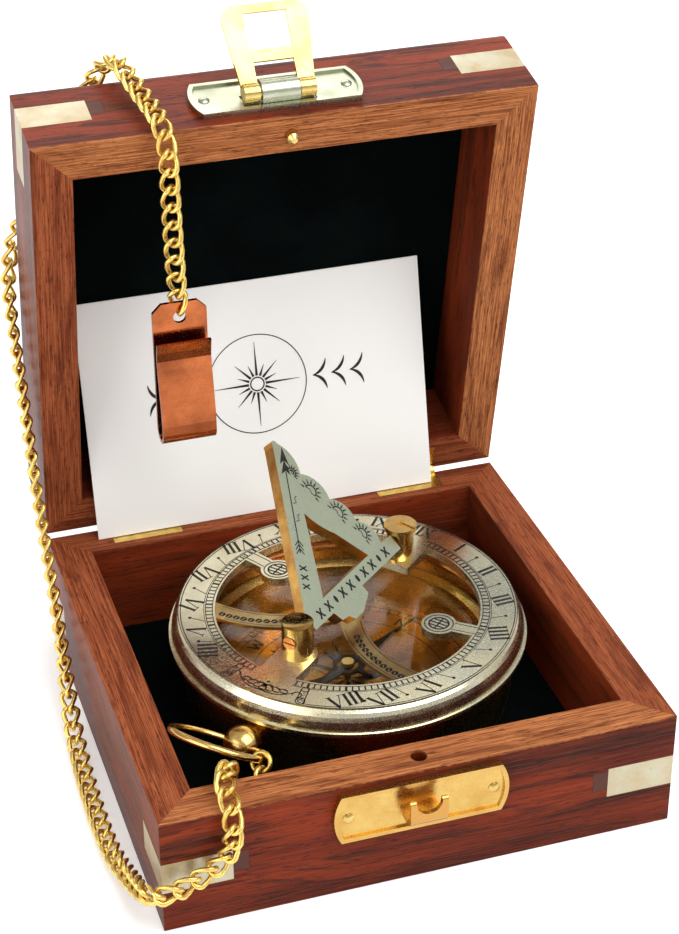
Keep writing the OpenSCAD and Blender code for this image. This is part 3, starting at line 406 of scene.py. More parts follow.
def wood(name, along, opened, board, rim_dark, rim_light):
    material, tree, shade = new_material(name, Coat_Roughness=0.22, Specular_IOR_Level=0.07)
    place, axes = board_place(tree, opened, along)
    grain = use_group(tree, board_grain, Place=place, Board=board)
    streak, fibre, pore = grain["Streak"], grain["Fibre"], grain["Pore"]

    body = blend_colours(tree, span(tree, grain["Tone"], 0.36, 0.64), sr(72, 18, 8), sr(126, 44, 18))
    body = blend_colours(tree, times(tree, streak, 0.9), body, sr(36, 12, 8))
    body = blend_colours(tree, span(tree, fibre, 0.42, 0.7, 0.0, 0.3), body, sr(164, 80, 42))
    sawn = blend_colours(tree, span(tree, fibre, 0.35, 0.65), rim_dark, rim_light)
    sawn = blend_colours(tree, times(tree, streak, 0.6), sawn, sr(84, 34, 20))

    depth = calc(tree, "ABSOLUTE", calc(tree, "SUBTRACT", axes[2], rim_level))
    ragged = times(tree, noise(tree, place, 0.9, 3.0), 0.9)
    rim = span(tree, calc(tree, "SUBTRACT", depth, ragged), -0.3, 0.15, 1.0, 0.0)
    side = calc(tree, "MAXIMUM",
                calc(tree, "SUBTRACT", calc(tree, "ABSOLUTE", axes[0]), inner_half_x),
                calc(tree, "SUBTRACT", calc(tree, "ABSOLUTE", axes[1]), inner_half_y))
    inside = span(tree, side, -0.5, 0.6, 1.0, 0.0)

    colour = blend_colours(tree, times(tree, inside, 0.3), body, sr(128, 56, 28))
    colour = blend_colours(tree, rim, colour, sawn)
    colour = blend_colours(tree, times(tree, pore, 0.55), colour, sr(34, 12, 8))
    tree.links.new(colour, shade.inputs["Base Color"])
    bare = calc(tree, "MAXIMUM", rim, inside)
    dulled = calc(tree, "ADD", bare, times(tree, fibre, 0.4))
    tree.links.new(span(tree, dulled, 0.0, 1.4, 0.36, 0.72), shade.inputs["Roughness"])
    tree.links.new(span(tree, bare, 0.0, 1.0, 0.07, 0.0), shade.inputs["Coat Weight"])

    saw = noise(tree, stretched(tree, place, 3.0, 1.1, 1.1), 1.0, 3.0, 0.7)
    scored = times(tree, times(tree, saw, rim), 0.9)
    height = calc(tree, "ADD", times(tree, fibre, 0.25),
                  calc(tree, "SUBTRACT", scored, times(tree, pore, 0.5)))
    add_bump(tree, shade, height, 0.55, 0.00018)
    return material


# %% [markdown]
# Each wall is a board of its own, cut from another part of the plank, so each gets its own
# place in the grain. The rims of some came out more tan, the others more red.

# %% Boards of the box
tan_rim = (sr(120, 60, 32), sr(196, 126, 76))
red_rim = (sr(104, 44, 24), sr(164, 92, 56))
boards = (
    ("base_front_wall", 0.0, tan_rim), ("base_back_wall", 61.0, red_rim),
    ("base_left_wall", 133.0, red_rim), ("base_right_wall", 207.0, red_rim),
    ("lid_front_wall", 310.0, tan_rim), ("lid_back_wall", 377.0, red_rim),
    ("lid_left_wall", 415.0, red_rim), ("lid_right_wall", 490.0, tan_rim),
    ("lid_top_board", 560.0, red_rim))


def finish_node(node, material, soften=0.0):
    """Gives a CAD piece its finish, and rounds its sharp edges a little with a modifier."""
    piece = NODES[node]
    piece.data.materials.clear()
    piece.data.materials.append(material)
    if soften:
        edge = piece.modifiers.new("softened edges", "BEVEL")
        edge.width = soften * MM
        edge.segments = 2
        edge.limit_method = "ANGLE"
        edge.angle_limit = math.radians(38)
        edge.use_clamp_overlap = True


for node, board, rim in boards:
    half, side = node.split("_")[:2]
    along = "y" if side in ("left", "right") else "x"
    finish_node(node, wood(f"wood, {half} {side}", along, half == "lid", board, *rim), 0.28)
print("boards:", len(boards))

# %% [markdown]
# The bottom board and the plugs that stop the inlays are of a darker wood with hardly any
# figure, so a plainer material with the same grain group is enough.

# %% Dark wood
dark_wood, tree, shade = new_material("dark wood", Specular_IOR_Level=0.35)
fibre = use_group(tree, board_grain, Place=board_place(tree, False, "x")[0], Board=23.0)["Fibre"]
tree.links.new(blend_colours(tree, fibre, sr(52, 20, 12), sr(94, 44, 28)), shade.inputs["Base Color"])
tree.links.new(span(tree, fibre, 0.3, 0.7, 0.45, 0.7), shade.inputs["Roughness"])
add_bump(tree, shade, fibre, 0.4, 0.0001)
dark_nodes = ("base_bottom_board", "base_corner_plugs", "lid_corner_plugs")
for node in dark_nodes:
    finish_node(node, dark_wood)
print("dark pieces:", len(dark_nodes))

# %% [markdown]
# ## Velvet
#
# Velvet looks black where the pile is seen end on and lighter where it's seen from the side.
# The Sheen of the shader does that. Cloudy patches come from pile that was brushed over.

# %% Velvet
velvet, tree, shade = new_material("velvet", Roughness=0.95, Specular_IOR_Level=0.03,
                                   Sheen_Weight=0.12, Sheen_Roughness=0.4,
                                   Sheen_Tint=(0.25, 0.4, 0.33, 1))
where = object_place(tree)
brushed = noise(tree, where, 60.0, 4.0, 0.6)
pile = noise(tree, where, 2600.0, 2.0, 0.7)
tree.links.new(blend_colours(tree, span(tree, brushed, 0.35, 0.7), sr(1, 2, 3), sr(4, 10, 10)),
               shade.inputs["Base Color"])
add_bump(tree, shade, calc(tree, "ADD", pile, times(tree, brushed, 1.6)), 0.7, 0.0003)
for node in ("base_lining", "lid_lining"):
    finish_node(node, velvet)
print("velvet pile, mm deep:", 0.0003 / MM)

# %% [markdown]
# ## Wear on metal
#
# Brass that is handled has hair-fine scratches in all directions, cloudy patches where
# fingers dull it, and brown specks. Every metal here uses this one group and mixes the three
# in its own amounts.

# %% Group: handled metal
handled, given, gives = new_group("handled metal", [("Size", 1.0)],
    [("Scratch", "Float"), ("Smudge", "Float"), ("Speck", "Float")])
g = handled
place = put(g, "VectorMath", {"operation": "SCALE"}, i0=object_place(g),
            Scale=times(g, given["Size"], 1 / MM)).outputs[0]
lines = []
for turns in ((0.3, 0.0, 0.5), (1.1, 0.7, 1.9), (2.2, 1.4, 2.8)):
    turned = put(g, "VectorRotate", {"rotation_type": "EULER_XYZ"}, Vector=place, Rotation=turns).outputs[0]
    lines.append(span(g, noise(g, stretched(g, turned, 0.22, 7.0, 7.0), 1.0, 1.0), 0.62, 0.74))
g.links.new(calc(g, "MAXIMUM", calc(g, "MAXIMUM", lines[0], lines[1]), lines[2]), gives["Scratch"])
g.links.new(span(g, noise(g, place, 0.16, 4.0, 0.6), 0.35, 0.7), gives["Smudge"])
g.links.new(span(g, noise(g, place, 1.7, 2.0), 0.68, 0.76), gives["Speck"])
print("wear nodes:", len(g.nodes))

# %% [markdown]
# A metal is a bright colour, the duller one that it turns where it's handled, and a
# roughness. Scratches and smudges raise the roughness, and only just stand in the surface.

# %% Metal
BROWN_SPECK = (0.16, 0.09, 0.04)


def worn_surface(tree, shade, wear, rough, by_smudge, by_scratch):
    dulled = calc(tree, "ADD", times(tree, wear["Smudge"], by_smudge),
                  times(tree, wear["Scratch"], by_scratch))
    tree.links.new(calc(tree, "ADD", dulled, rough), shade.inputs["Roughness"])
    height = calc(tree, "SUBTRACT", times(tree, wear["Smudge"], 0.4), wear["Scratch"])
    return add_bump(tree, shade, height, 0.25, 0.00002)


def metal(name, bright, dull, rough, worn, size, over=None, mask=None):
    """A worn metal. Another colour may lie over it where a mask says so."""
    material, tree, shade = new_material(name, Metallic=1.0)
    wear = use_group(tree, handled, Size=size)
    colour = blend_colours(tree, times(tree, wear["Smudge"], worn), bright, dull)
    colour = blend_colours(tree, times(tree, wear["Speck"], 0.5 * worn), colour, BROWN_SPECK)
    if over:
        colour = blend_colours(tree, mask(tree), colour, over)
    tree.links.new(colour, shade.inputs["Base Color"])
    return material, worn_surface(tree, shade, wear, rough, 0.14, 0.16)


print("metals use", handled.name)

# %% [markdown]
# The metals of the object aren't alike. The latch is gilt, the plates and inlays are a pale
# alloy, the compass is yellow brass, and its rim, pins and the clip are redder. The needle is
# blued steel.

# %% Brass finishes


metals = (
    (("gold plate", sr(218, 192, 122), sr(196, 158, 84), 0.18, 0.8, 1.0),
     ("catch_nails", "hasp_flap", "hasp_pin", "locating_pin")),
    (("pale plate", sr(184, 188, 168), sr(160, 162, 134), 0.22, 0.7, 1.0),
     ("hasp_plate", "hasp_nails")),
    (("inlay brass", sr(184, 180, 158), sr(186, 162, 124), 0.36, 0.8, 1.2),
     ("base_corner_inlays", "lid_corner_inlays")),
    (("gold chain", sr(240, 210, 122), sr(192, 152, 70), 0.22, 0.7, 2.0),
     ("jump_ring", "hinge_base_leaves", "hinge_lid_leaves", "hinge_base_screws", "hinge_lid_screws")),
    (("case brass", sr(232, 196, 122), sr(176, 130, 68), 0.12, 0.7, 0.9),
     ("compass_case", "inner_sleeve", "near_post", "far_post", "crown_stem", "crown_ball", "bow",
      "needle_cap")),
    (("arm brass", sr(214, 186, 130), sr(176, 138, 84), 0.26, 0.7, 1.3), ("dial_arms",)),
    (("red brass", sr(204, 142, 86), sr(150, 92, 50), 0.16, 0.7, 1.2),
     ("hinge_pins", "pivot_screws", "bezel_ring")),
    (("clip brass", sr(184, 104, 62), sr(118, 60, 36), 0.1, 0.8, 0.7), ("belt_clip",)),
    (("blued steel", sr(52, 50, 56), sr(24, 24, 30), 0.25, 0.6, 1.2),
     ("needle", "needle_pivot", "post_screws")))
softened = {"hasp_flap": 0.15, "hasp_plate": 0.12, "near_post": 0.2, "far_post": 0.2, "belt_clip": 0.12}
for look, nodes in metals:
    finish, wear_bump = metal(*look)
    for node in nodes:
        finish_node(node, finish, softened.get(node, 0.0))
    if look[0] == "gold chain":
        chain.data.materials.append(finish)
print("metal finishes:", len(metals))

# %% [markdown]
# The dial ring was turned on a lathe and falls away very slightly towards its lip. That is too
# little for the model, but a mirror shows it, so only the ring's shine leans outwards: a bump
# whose height falls with the distance from the dial's centre.

# %% Dial ring
ring_fall = 0.26
ring_brass, wear_bump = metal("dial brass", sr(248, 243, 216), sr(226, 212, 162), 0.16, 0.6, 1.0)
tree = ring_brass.node_tree
from_centre = put(tree, "VectorMath", {"operation": "SUBTRACT"}, i0=object_place(tree),
                  i1=(0.0022, 0.0041, 0)).outputs[0]
radius = put(tree, "VectorMath", {"operation": "LENGTH"}, i0=stretched(tree, from_centre, 1, 1, 0))
lean = put(tree, "Bump", None, Height=times(tree, radius.outputs["Value"], -ring_fall),
           Strength=1.0, Distance=1.0)
tree.links.new(lean.outputs[0], wear_bump.inputs["Normal"])
finish_node("dial_ring", ring_brass, 0.15)
print("ring's shine leans, degrees:", round(math.degrees(math.atan(ring_fall)), 1))

# %% [markdown]
# The catch's hook is folded out of its plate. A browner, darker brass is painted on the hook as shade, and
# the hook is found by how far it stands in front of the box.

# %% Catch plate
# A mask for the painted shade: 1 on the hook, which stands furthest in front of the box.
def hook_shade_mask(tree):
    return span(tree, put(tree, "SeparateXYZ", None, i0=object_place(tree)).outputs[1], -0.0504, -0.0511)


# Over the catch brass a browner, darker colour is painted on the hook as shade.
catch_brass, wear_bump = metal("catch brass", sr(206, 174, 102), sr(188, 144, 72), 0.18, 0.8, 1.0,
                               sr(192, 144, 78), hook_shade_mask)
finish_node("catch_plate", catch_brass, 0.12)
print("catch plate finished with", catch_brass.name)

# %% [markdown]
# The gnomon was silvered on both faces and then filed along its edges, so the brass shows
# there. The faces are found by comparing the surface's own direction with the plate's.

# %% Silvered plate with brass edges
noon_degrees, lean_degrees = 41.3, 45.0
noon = math.radians(noon_degrees)
gnomon_lean = math.radians(lean_degrees)
plate_facing = (math.cos(gnomon_lean) * math.sin(noon), -math.cos(gnomon_lean) * math.cos(noon),
                math.sin(gnomon_lean))
gnomon_brass, tree, shade = new_material("gnomon brass", Metallic=1.0)
wear = use_group(tree, handled, Size=1.3)
facing = put(tree, "VectorMath", {"operation": "DOT_PRODUCT"},
             i0=put(tree, "TexCoord").outputs["Normal"], i1=plate_facing).outputs["Value"]
on_face = span(tree, calc(tree, "ABSOLUTE", facing), 0.8, 0.97)
silvered = blend_colours(tree, times(tree, wear["Smudge"], 0.6),
                         sr(206, 214, 188), sr(180, 186, 156))
filed = blend_colours(tree, wear["Smudge"], sr(222, 176, 98), sr(170, 112, 52))
tree.links.new(blend_colours(tree, on_face, filed, silvered), shade.inputs["Base Color"])
worn_surface(tree, shade, wear, 0.26, 0.12, 0.15)
finish_node("gnomon", gnomon_brass, 0.2)
print("plate faces:", [round(v, 2) for v in plate_facing])

# %% [markdown]
# ## Glass and card stock
#
# The glass is thin and flat, so plain transmission with a little roughness variation is
# enough.

# %% Glass
clear_glass, tree, shade = new_material("clear glass", Metallic=0.0, Transmission_Weight=1.0, IOR=1.45)
smudge = use_group(tree, handled, Size=0.8)["Smudge"]
tree.links.new(times(tree, smudge, 0.04), shade.inputs["Roughness"])
tree.links.new(blend_colours(tree, times(tree, smudge, 0.3), (0.97, 0.98, 0.96), (0.9, 0.93, 0.9)),
               shade.inputs["Base Color"])
finish_node("glass", clear_glass)
print("glass finished")

# %% [markdown]
# The card is white board. Its tooth is much finer than a millimetre, and only takes the shine
# off, while a large faint cloud keeps the white from looking flat.

# %% Card stock
card_stock, tree, shade = new_material("card stock", Roughness=0.7, Specular_IOR_Level=0.3)
where = object_place(tree)
tooth = noise(tree, where, 1800.0, 4.0, 0.7)
cloud = noise(tree, where, 30.0, 2.0)
tree.links.new(blend_colours(tree, cloud, sr(244, 243, 240), sr(236, 235, 233)), shade.inputs["Base Color"])
add_bump(tree, shade, tooth, 0.2, 0.00004)
finish_node("card", card_stock)
print("card finished")

# %% [markdown]
# ## Engraving
#
# The lines, numerals and ornaments are cut into the brass and filled with black wax. Cut
# lines this fine would need millions of faces in a solid model, so they're thin flat strips
# that lie on the metal. A pen draws each stroke as a strip on a flat drawing, and a second
# step lays the drawing on the dial or the gnomon.

# %% Black wax
black_wax, tree, shade = new_material("black wax", Specular_IOR_Level=0.4)
worn_wax = noise(tree, object_place(tree), 900.0, 3.0, 0.6)
tree.links.new(blend_colours(tree, span(tree, worn_wax, 0.5, 0.8), sr(16, 14, 14), sr(66, 54, 42)),
               shade.inputs["Base Color"])
tree.links.new(span(tree, worn_wax, 0.3, 0.7, 0.35, 0.6), shade.inputs["Roughness"])

# %% Pen
class Drawing:
    """Strips on a flat drawing, in millimetres."""

    def __init__(self):
        self.points, self.faces = [], []

    def line(self, path, width, taper=None):
        count = len(path)
        first = len(self.points)
        for k, (x, y) in enumerate(path):
            before, after = path[max(k - 1, 0)], path[min(k + 1, count - 1)]
            dx, dy = after[0] - before[0], after[1] - before[1]
            size = math.hypot(dx, dy) or 1
            half = width / 2 * (taper(k / (count - 1)) if taper else 1)
            off_x, off_y = -dy / size * half, dx / size * half
            self.points += [(x + off_x, y + off_y), (x - off_x, y - off_y)]
        for a in range(first, first + 2 * (count - 1), 2):
            self.faces.append([a, a + 1, a + 3, a + 2])

    def shape(self, corners):
        first = len(self.points)
        self.points += corners
        self.faces.append(list(range(first, first + len(corners))))

    def dot(self, x, y, radius, sides=14):
        self.shape([polar(radius, 360 * k / sides, x, y) for k in range(sides)])

    def arc(self, x, y, radius, start, end, width, sides):
        self.line([polar(radius, start + (end - start) * k / sides, x, y) for k in range(sides + 1)], width)

    def stamp(self, other, x, y, turn, size=1.0):
        """Another drawing, turned by an angle in degrees and moved."""
        first = len(self.points)
        c, s = polar(size, turn)
        self.points += [(x + px * c - py * s, y + px * s + py * c) for px, py in other.points]
        self.faces += [[first + i for i in face] for face in other.faces]

    def lay(self, name, body, to_object):
        print(name, "faces:", len(self.faces))
        new_piece(name, [to_object(x, y) for x, y in self.points], self.faces, body, black_wax)


WAX_LIFT = 0.02  # how far a drawing lies above its metal

# %% [markdown]
# Roman numerals are drawn upright with their foot at the origin, from strokes with serifs.
# The thick and thin strokes of V and X follow the usual rule: the stroke that falls to the
# right is the thick one.

# %% Roman numerals
widths = {"I": 1.25, "V": 3.0, "X": 2.9}
SERIF = 0.5
THICK, THIN, HAIR = 0.62, 0.2, 0.16


def numeral(text, high):
    drawing = Drawing()
    x = -sum(widths[c] for c in text) / 2
    for c in text:
        left, end, middle = x + 0.35, x + widths[c] - 0.35, x + widths[c] / 2
        strokes = {"I": [(middle, middle, THICK)],
                   "V": [(left, middle, THICK), (end, middle, THIN)],
                   "X": [(left, end, THICK), (end, left, THIN)]}[c]
        for head, foot, width in strokes:
            drawing.line([(head, high), (foot, 0)], width)
            for x_end, y_end in ((head, high), (foot, 0))[:1 if c == "V" else 2]:
                drawing.line([(x_end - SERIF, y_end), (x_end + SERIF, y_end)], HAIR)
        x += widths[c]
    return drawing


print("letters:", list(widths))

# %% [markdown]
# ## Dial
#
# The shadow of a slanted style turns by unequal angles from hour to hour. The tangent of the
# line's angle is the sine of the latitude times the tangent of the sun's hour angle. The
# lines start at the style's foot, which lies south of the dial's centre, so the hours crowd
# together near noon.

# %% Dial layout
dial_centre = Vector((2.2, 4.1, 0))
face_z = 26.5
lip_line, numeral_foot, numeral_head, ticks_out, ticks_in = 34.25, 33.7, 29.9, 29.1, 27.7
style_foot = -16.0
latitude = math.radians(52)


def on_dial(height):
    """Lays a drawing on the dial. Its +Y is noon, and its +X the afternoon side."""
    def place(x, y):
        return (dial_centre.x + y * math.cos(noon) + x * math.sin(noon),
                dial_centre.y + y * math.sin(noon) - x * math.cos(noon), height)
    return place


def hour_direction(hour):
    sun = math.radians(15 * hour)
    return math.atan2(math.sin(latitude) * math.sin(sun), math.cos(sun))


def hour_point(hour, radius):
    """Where an hour line crosses a circle round the dial's centre."""
    angle = hour_direction(hour)
    dx, dy = math.sin(angle), math.cos(angle)
    along = style_foot * dy
    t = -along + math.sqrt(along * along - style_foot ** 2 + radius * radius)
    return t * dx, style_foot + t * dy


print("hour lines, degrees from noon:",
      [round(math.degrees(math.atan2(*hour_point(h, 31.0)))) for h in range(1, 9)])

# %% [markdown]
# Round the ring run two lines at the lip and a ladder of ticks at the opening. They stop short
# of the far post at noon, and of the scroll ends in the south.

# %% Circles and ticks
dial_lines = Drawing()
SCROLL, LADDER_END, POST_HALF = 164, 171, 5
for radius, width, is_ladder in ((lip_line, 0.2, False), (lip_line + 0.45, 0.14, False),
                                 (ticks_out, 0.16, True), (ticks_out + 0.35, 0.12, True),
                                 (ticks_in, 0.16, True)):
    near, far = (POST_HALF, LADDER_END) if is_ladder else (0, SCROLL)
    for start, end in ((near, far), (-far, -near)):
        dial_lines.arc(0, 0, radius, 90 - start, 90 - end, width, 90)
for k in range(-68, 69):
    if abs(k) > 2:
        dial_lines.line([polar(r, 90 - k * 2.5) for r in (ticks_in, ticks_out)], 0.3 if k % 6 else 0.5)
print("ticks:", 2 * 66)

# %% [markdown]
# Each numeral stands on its hour line with its foot at the lip, and between two of them a line
# with a dot marks the half hour.

# %% Hours
names = {0: "XII", 1: "I", 2: "II", 3: "III", 4: "IIII", 5: "V", 6: "VI", 7: "VII", 8: "VIII",
         -1: "XI", -2: "X", -3: "IX", -4: "VIII", -5: "VII", -6: "VI", -7: "V", -8: "IIII"}
for hour, text in names.items():
    x, y = hour_point(hour, numeral_foot)
    near_x, near_y = hour_point(hour, numeral_head)
    lean = math.degrees(math.atan2(near_y - y, near_x - x)) - 90
    size = 0.9 if abs(hour) < 2 else 1.0  # the hours crowd round noon
    dial_lines.stamp(numeral(text, numeral_foot - numeral_head), x, y, lean, size)
for k in range(-8, 8):
    half = k + 0.5
    a, b = hour_point(half, ticks_out + 0.4), hour_point(half, 32.4)
    if abs(half) > 0.6:
        dial_lines.line([a, b], 0.16)
        dial_lines.dot(b[0], b[1], 0.36)
print("hours:", len(names))

# %% [markdown]
# The band of numerals ends on both sides in a rolled strip, like the end of a paper scroll:
# two lines across the ring, a roll at each of their ends and a few short bars between them.

# %% Scroll ends
for side in (-1, 1):
    a = math.radians(side * SCROLL)
    out = (math.sin(a), math.cos(a))
    south = (side * -math.cos(a), side * math.sin(a))

    def on_scroll(r, off):
        return out[0] * r - south[0] * off, out[1] * r - south[1] * off

    for off, start, end in ((0.0, ticks_out + 0.2, lip_line + 0.2), (1.5, ticks_out + 0.9, lip_line - 0.9)):
        dial_lines.line([on_scroll(r, off) for r in (start, end)], 0.24)
    for radius, start, end in ((0.95, 0, 360), (0.45, 20, 330)):
        dial_lines.arc(*on_scroll(lip_line - 0.7, 0.75), radius, start, end, 0.22, 20)
    dial_lines.arc(*on_scroll(ticks_out + 0.7, 0.75), 0.7, 0, 360, 0.2, 16)
    for j in range(5):
        r = ticks_out + 1.5 + 0.55 * j
        dial_lines.line([on_scroll(r, off) for off in (0.3, 0.9)], 0.14)
print("scroll ends at, degrees:", SCROLL)

# %% [markdown]
# South of the scroll ends the ring carries a small spray of leaves, a common ornament. Each
# leaf is one tapered stroke.

# %% Spray of leaves
def leaf(drawing, x, y, turn, long, width, curl):
    """One curved stroke that is thickest in its middle. It curls by so many degrees."""
    path = [polar(long * t, turn + curl * (t - 0.5), x, y) for t in [k / 8 for k in range(9)]]
    drawing.line(path, width, taper=lambda t: 0.25 + math.sin(math.pi * t))


def on_ring(radius, degrees):
    """A point at an angle from the dial's south, counted towards the afternoon side."""
    return polar(radius, degrees - 90)


for side in (-1, 1):
    stem = [on_ring(33.2 - 2.2 * t + 1.0 * math.sin(t * math.pi), side * (0.4 + 12.0 * t))
            for t in [k / 14 for k in range(15)]]
    dial_lines.line(stem, 0.26, taper=lambda t: 1.3 - 0.6 * t)
    dial_lines.arc(*on_ring(31.9, side * 12.6), 0.9, 90 - side * 160, 90 + side * 130, 0.24, 14)
    for k in range(4):
        x, y = on_ring(33.0 - 0.35 * k, side * (1.2 + 2.7 * k))
        inward = math.degrees(math.atan2(-y, -x))
        leaf(dial_lines, x, y, inward + side * (20 + 8 * k), 3.1 - 0.35 * k, 0.34, side * 60)
        leaf(dial_lines, x, y, inward + side * (95 + 6 * k), 1.7, 0.3, -side * 40)
for radius, size in ((30.3, 0.32), (31.6, 0.55), (33.1, 0.36)):
    dial_lines.dot(0, -radius, size)
dial_lines.lay("dial_engraving", "compass", on_dial(face_z + WAX_LIFT))

# %% [markdown]
# The two round tabs each carry a ring with bars in it, and two lines run along the stem that
# holds the tab.

# %% Tabs
tab_lines = Drawing()
tab_way, bar_gap, stem_half = 19.6, 1.0, 1.1
for side in (-1, 1):
    out = (math.sin(math.radians(side * 79)), math.cos(math.radians(side * 79)))
    x, y = tab_way * out[0], tab_way * out[1]
    tab_lines.arc(x, y, 2.9, 0, 360, 0.22, 40)
    tab_lines.arc(x, y, 2.0, 0, 360, 0.35, 32)
    for j in (-1, 0, 1):
        long = math.sqrt(1.9 ** 2 - (j * bar_gap) ** 2)
        tab_lines.line([(x - long, y + j * bar_gap), (x + long, y + j * bar_gap)], 0.34)
    tab_lines.line([(x, y - 1.9), (x, y + 1.9)], 0.3)
    for j in (-stem_half, stem_half):
        tab_lines.line([(x + out[0] * r + out[1] * j, y + out[1] * r - out[0] * j) for r in (3.0, 9.2)], 0.18)
tab_lines.lay("tab_engraving", "compass", on_dial(face_z + WAX_LIFT))

# %% [markdown]
# The curved arms lie lower than the ring, under it. Each is part of a flat ring, so its edge
# lines are arcs, and a row of leaf pairs runs between them.

# %% Arms
arm_lines = Drawing()
arm_turn = math.radians(118)
arm_depth = 1.8


def on_arm(x, y, near=0.0, far=25.6):
    """Whether a place in the dial's own axes, x at noon and y at morning, is on the arm."""
    return (near < math.hypot(x, y) < far and x * math.cos(arm_turn) + y * math.sin(arm_turn) > 3.4
            and abs(-x * math.sin(arm_turn) + y * math.cos(arm_turn)) < 9)


cx = 14.6 * math.cos(arm_turn) + 22.36 * math.sin(arm_turn)
cy = 14.6 * math.sin(arm_turn) - 22.36 * math.cos(arm_turn)
for side in (-1, 1):
    for radius in (24.2, 27.8):
        places = [polar(radius, 6 * k, cx, cy) for k in range(60)]
        path = [(-side * y, x) for x, y in places if on_arm(x, y, far=26.6)]
        if len(path) > 2:
            arm_lines.line(path, 0.16)
    for k in range(100):
        b = math.radians(k * 3.6)
        x, y = polar(26, k * 3.6, cx, cy)
        if on_arm(x, y, near=7):
            run_on = math.degrees(math.atan2(math.cos(b), side * math.sin(b)))
            for bend in (-1, 1):
                leaf(arm_lines, -side * y, x, run_on + 38 * bend, 1.35, 0.5, -70 * bend)
arm_lines.lay("arm_engraving", "compass", on_dial(face_z - arm_depth + WAX_LIFT))

# %% [markdown]
# ## Compass card
#
# Under the glass lies a brass disc with a printed rose. It shows the four quarters by their
# letters, a ring of degrees and a star of eight points. Half of each point is black and half
# bare, which makes the star look faceted.

# %% Compass rose
card_top = 7.3
rose = Drawing()
for radius, width in ((26.4, 0.25), (24.9, 0.18), (20.6, 0.2), (9.4, 0.2)):
    rose.arc(0, 0, radius, 0, 360, width, 90)
for k in range(72):
    rose.line([polar(r, 90 - 5 * k) for r in (24.9 if k % 2 else 24.2, 26.4)], 0.22)
for k in range(8):
    long, base = (19.6, 3.6) if k % 2 == 0 else (13.5, 4.6)
    tip = polar(long, 90 - 45 * k)
    rose.shape([(0, 0), polar(base, 67.5 - 45 * k), tip])
    rose.line([tip, polar(base, 112.5 - 45 * k)], 0.14)
print("rose points:", 8)

# %% [markdown]
# The letters are drawn like the numerals, as strokes from a foot at the origin.

# %% Letters of the quarters
letters = {
    "N": [[(-1, 0), (-1, 2.8)], [(-1, 2.8), (1, 0)], [(1, 0), (1, 2.8)]],
    "E": [[(-0.9, 0), (-0.9, 2.8)], [(-0.9, 2.7), (1, 2.7)], [(-0.9, 1.4), (0.6, 1.4)],
          [(-0.9, 0.1), (1, 0.1)]],
    "S": [[(1, 2.4), (0.4, 2.8), (-0.5, 2.75), (-1, 2.2), (-0.6, 1.6), (0.5, 1.2), (1, 0.7),
           (0.5, 0.05), (-0.4, 0), (-1, 0.4)]],
    "W": [[(-1.5, 2.8), (-0.8, 0)], [(-0.8, 0), (0, 2.2)], [(0, 2.2), (0.8, 0)], [(0.8, 0), (1.5, 2.8)]],
}
for k, name in enumerate("NESW"):
    letter = Drawing()
    for path in letters[name]:
        letter.line(path, 0.5)
    rose.stamp(letter, *polar(21.4, 90 - 90 * k), -90 * k)
rose.lay("compass_rose", "compass", on_dial(card_top + WAX_LIFT))
rose_brass, wear_bump = metal("rose brass", sr(206, 150, 78), sr(150, 96, 44), 0.22, 0.8, 0.8)
finish_node("compass_card", rose_brass)

# %% [markdown]
# ## Gnomon engraving
#
# The plate carries an arrow along its sloping style, half suns in the lobes and a chain of
# arches and dots along the bar. Both faces are engraved, so the drawing is laid twice. The
# plate leans towards the morning side by 45 degrees and turns about its bar.

# %% Gnomon layout
near_post, pivot_z, plate_half = 19.4, 30.8, 1.4


def on_gnomon(face):
    """Lays a drawing on one face of the plate: x runs along the bar from the near post, and
    y stands up from it."""
    def place(x, y):
        along = x - near_post
        lift = plate_half + WAX_LIFT
        left = y * math.sin(gnomon_lean) - face * lift * math.cos(gnomon_lean)
        high = y * math.cos(gnomon_lean) + face * lift * math.sin(gnomon_lean)
        return (dial_centre.x + along * math.cos(noon) - left * math.sin(noon),
                dial_centre.y + along * math.sin(noon) + left * math.cos(noon), pivot_z + high)
    return place


print("plate, mm thick:", 2 * plate_half)

# %% [markdown]
# Along the style runs an arrow with two heads and a feathered tail, with three crosses below
# it. Its points are given by their run along the style and their distance from its middle.

# %% Arrow and crosses
sign = Drawing()
style_turn = math.atan2(31.0, 23.8)
ux, uy = math.cos(style_turn), math.sin(style_turn)


def by_style(*places):
    """Points from their run along the style's middle line and their way off it."""
    return [(7.6 + along * ux + off * uy, 4.4 + along * uy - off * ux) for along, off in places]


sign.line(by_style((9.5, 0), (27.6, 0)), 0.28)
sign.shape(by_style((33.2, 0), (29.2, -1.15), (30.2, 0), (29.2, 1.15)))
sign.shape(by_style((30.4, 0), (26.9, -1.2), (27.8, 0), (26.9, 1.2)))
for k in range(3):
    for side in (-1, 1):
        sign.line(by_style((10.4 + 0.9 * k, 0), (9.2 + 0.9 * k, side)), 0.24)
for start in (16.5, 20.5):
    sign.line(by_style((start, 0.5), (start + 0.3, 1.3), (start + 1.2, 1.0), (start + 1.8, 1.6)), 0.2)
for start in (1.6, 3.6, 5.6):
    for off in (-0.9, 0.9):
        sign.line(by_style((start, off), (start + 1, -off)), 0.34)
print("arrow faces:", len(sign.faces))

# %% [markdown]
# In each lobe of the plate's back edge stands half a sun: an arc, a wavy line that closes it,
# and nine tapered rays.

# %% Half suns
def half_sun(drawing, x, y, turn, radius=1.45):
    out_x, out_y = polar(1, turn)
    drawing.arc(x, y, radius, turn - 90, turn + 90, 0.34, 14)
    wave = ((radius, 0.0), (0.4, 0.35), (-0.4, -0.2), (-radius, 0.0))
    drawing.line([(x - out_y * along + out_x * off, y + out_x * along + out_y * off)
                  for along, off in wave], 0.2)
    for k in range(9):
        drawing.line([polar(radius + r, turn - 100 + 25 * k, x, y) for r in (0.3, 1.35)], 0.36,
                     taper=lambda t: 1.3 - t)


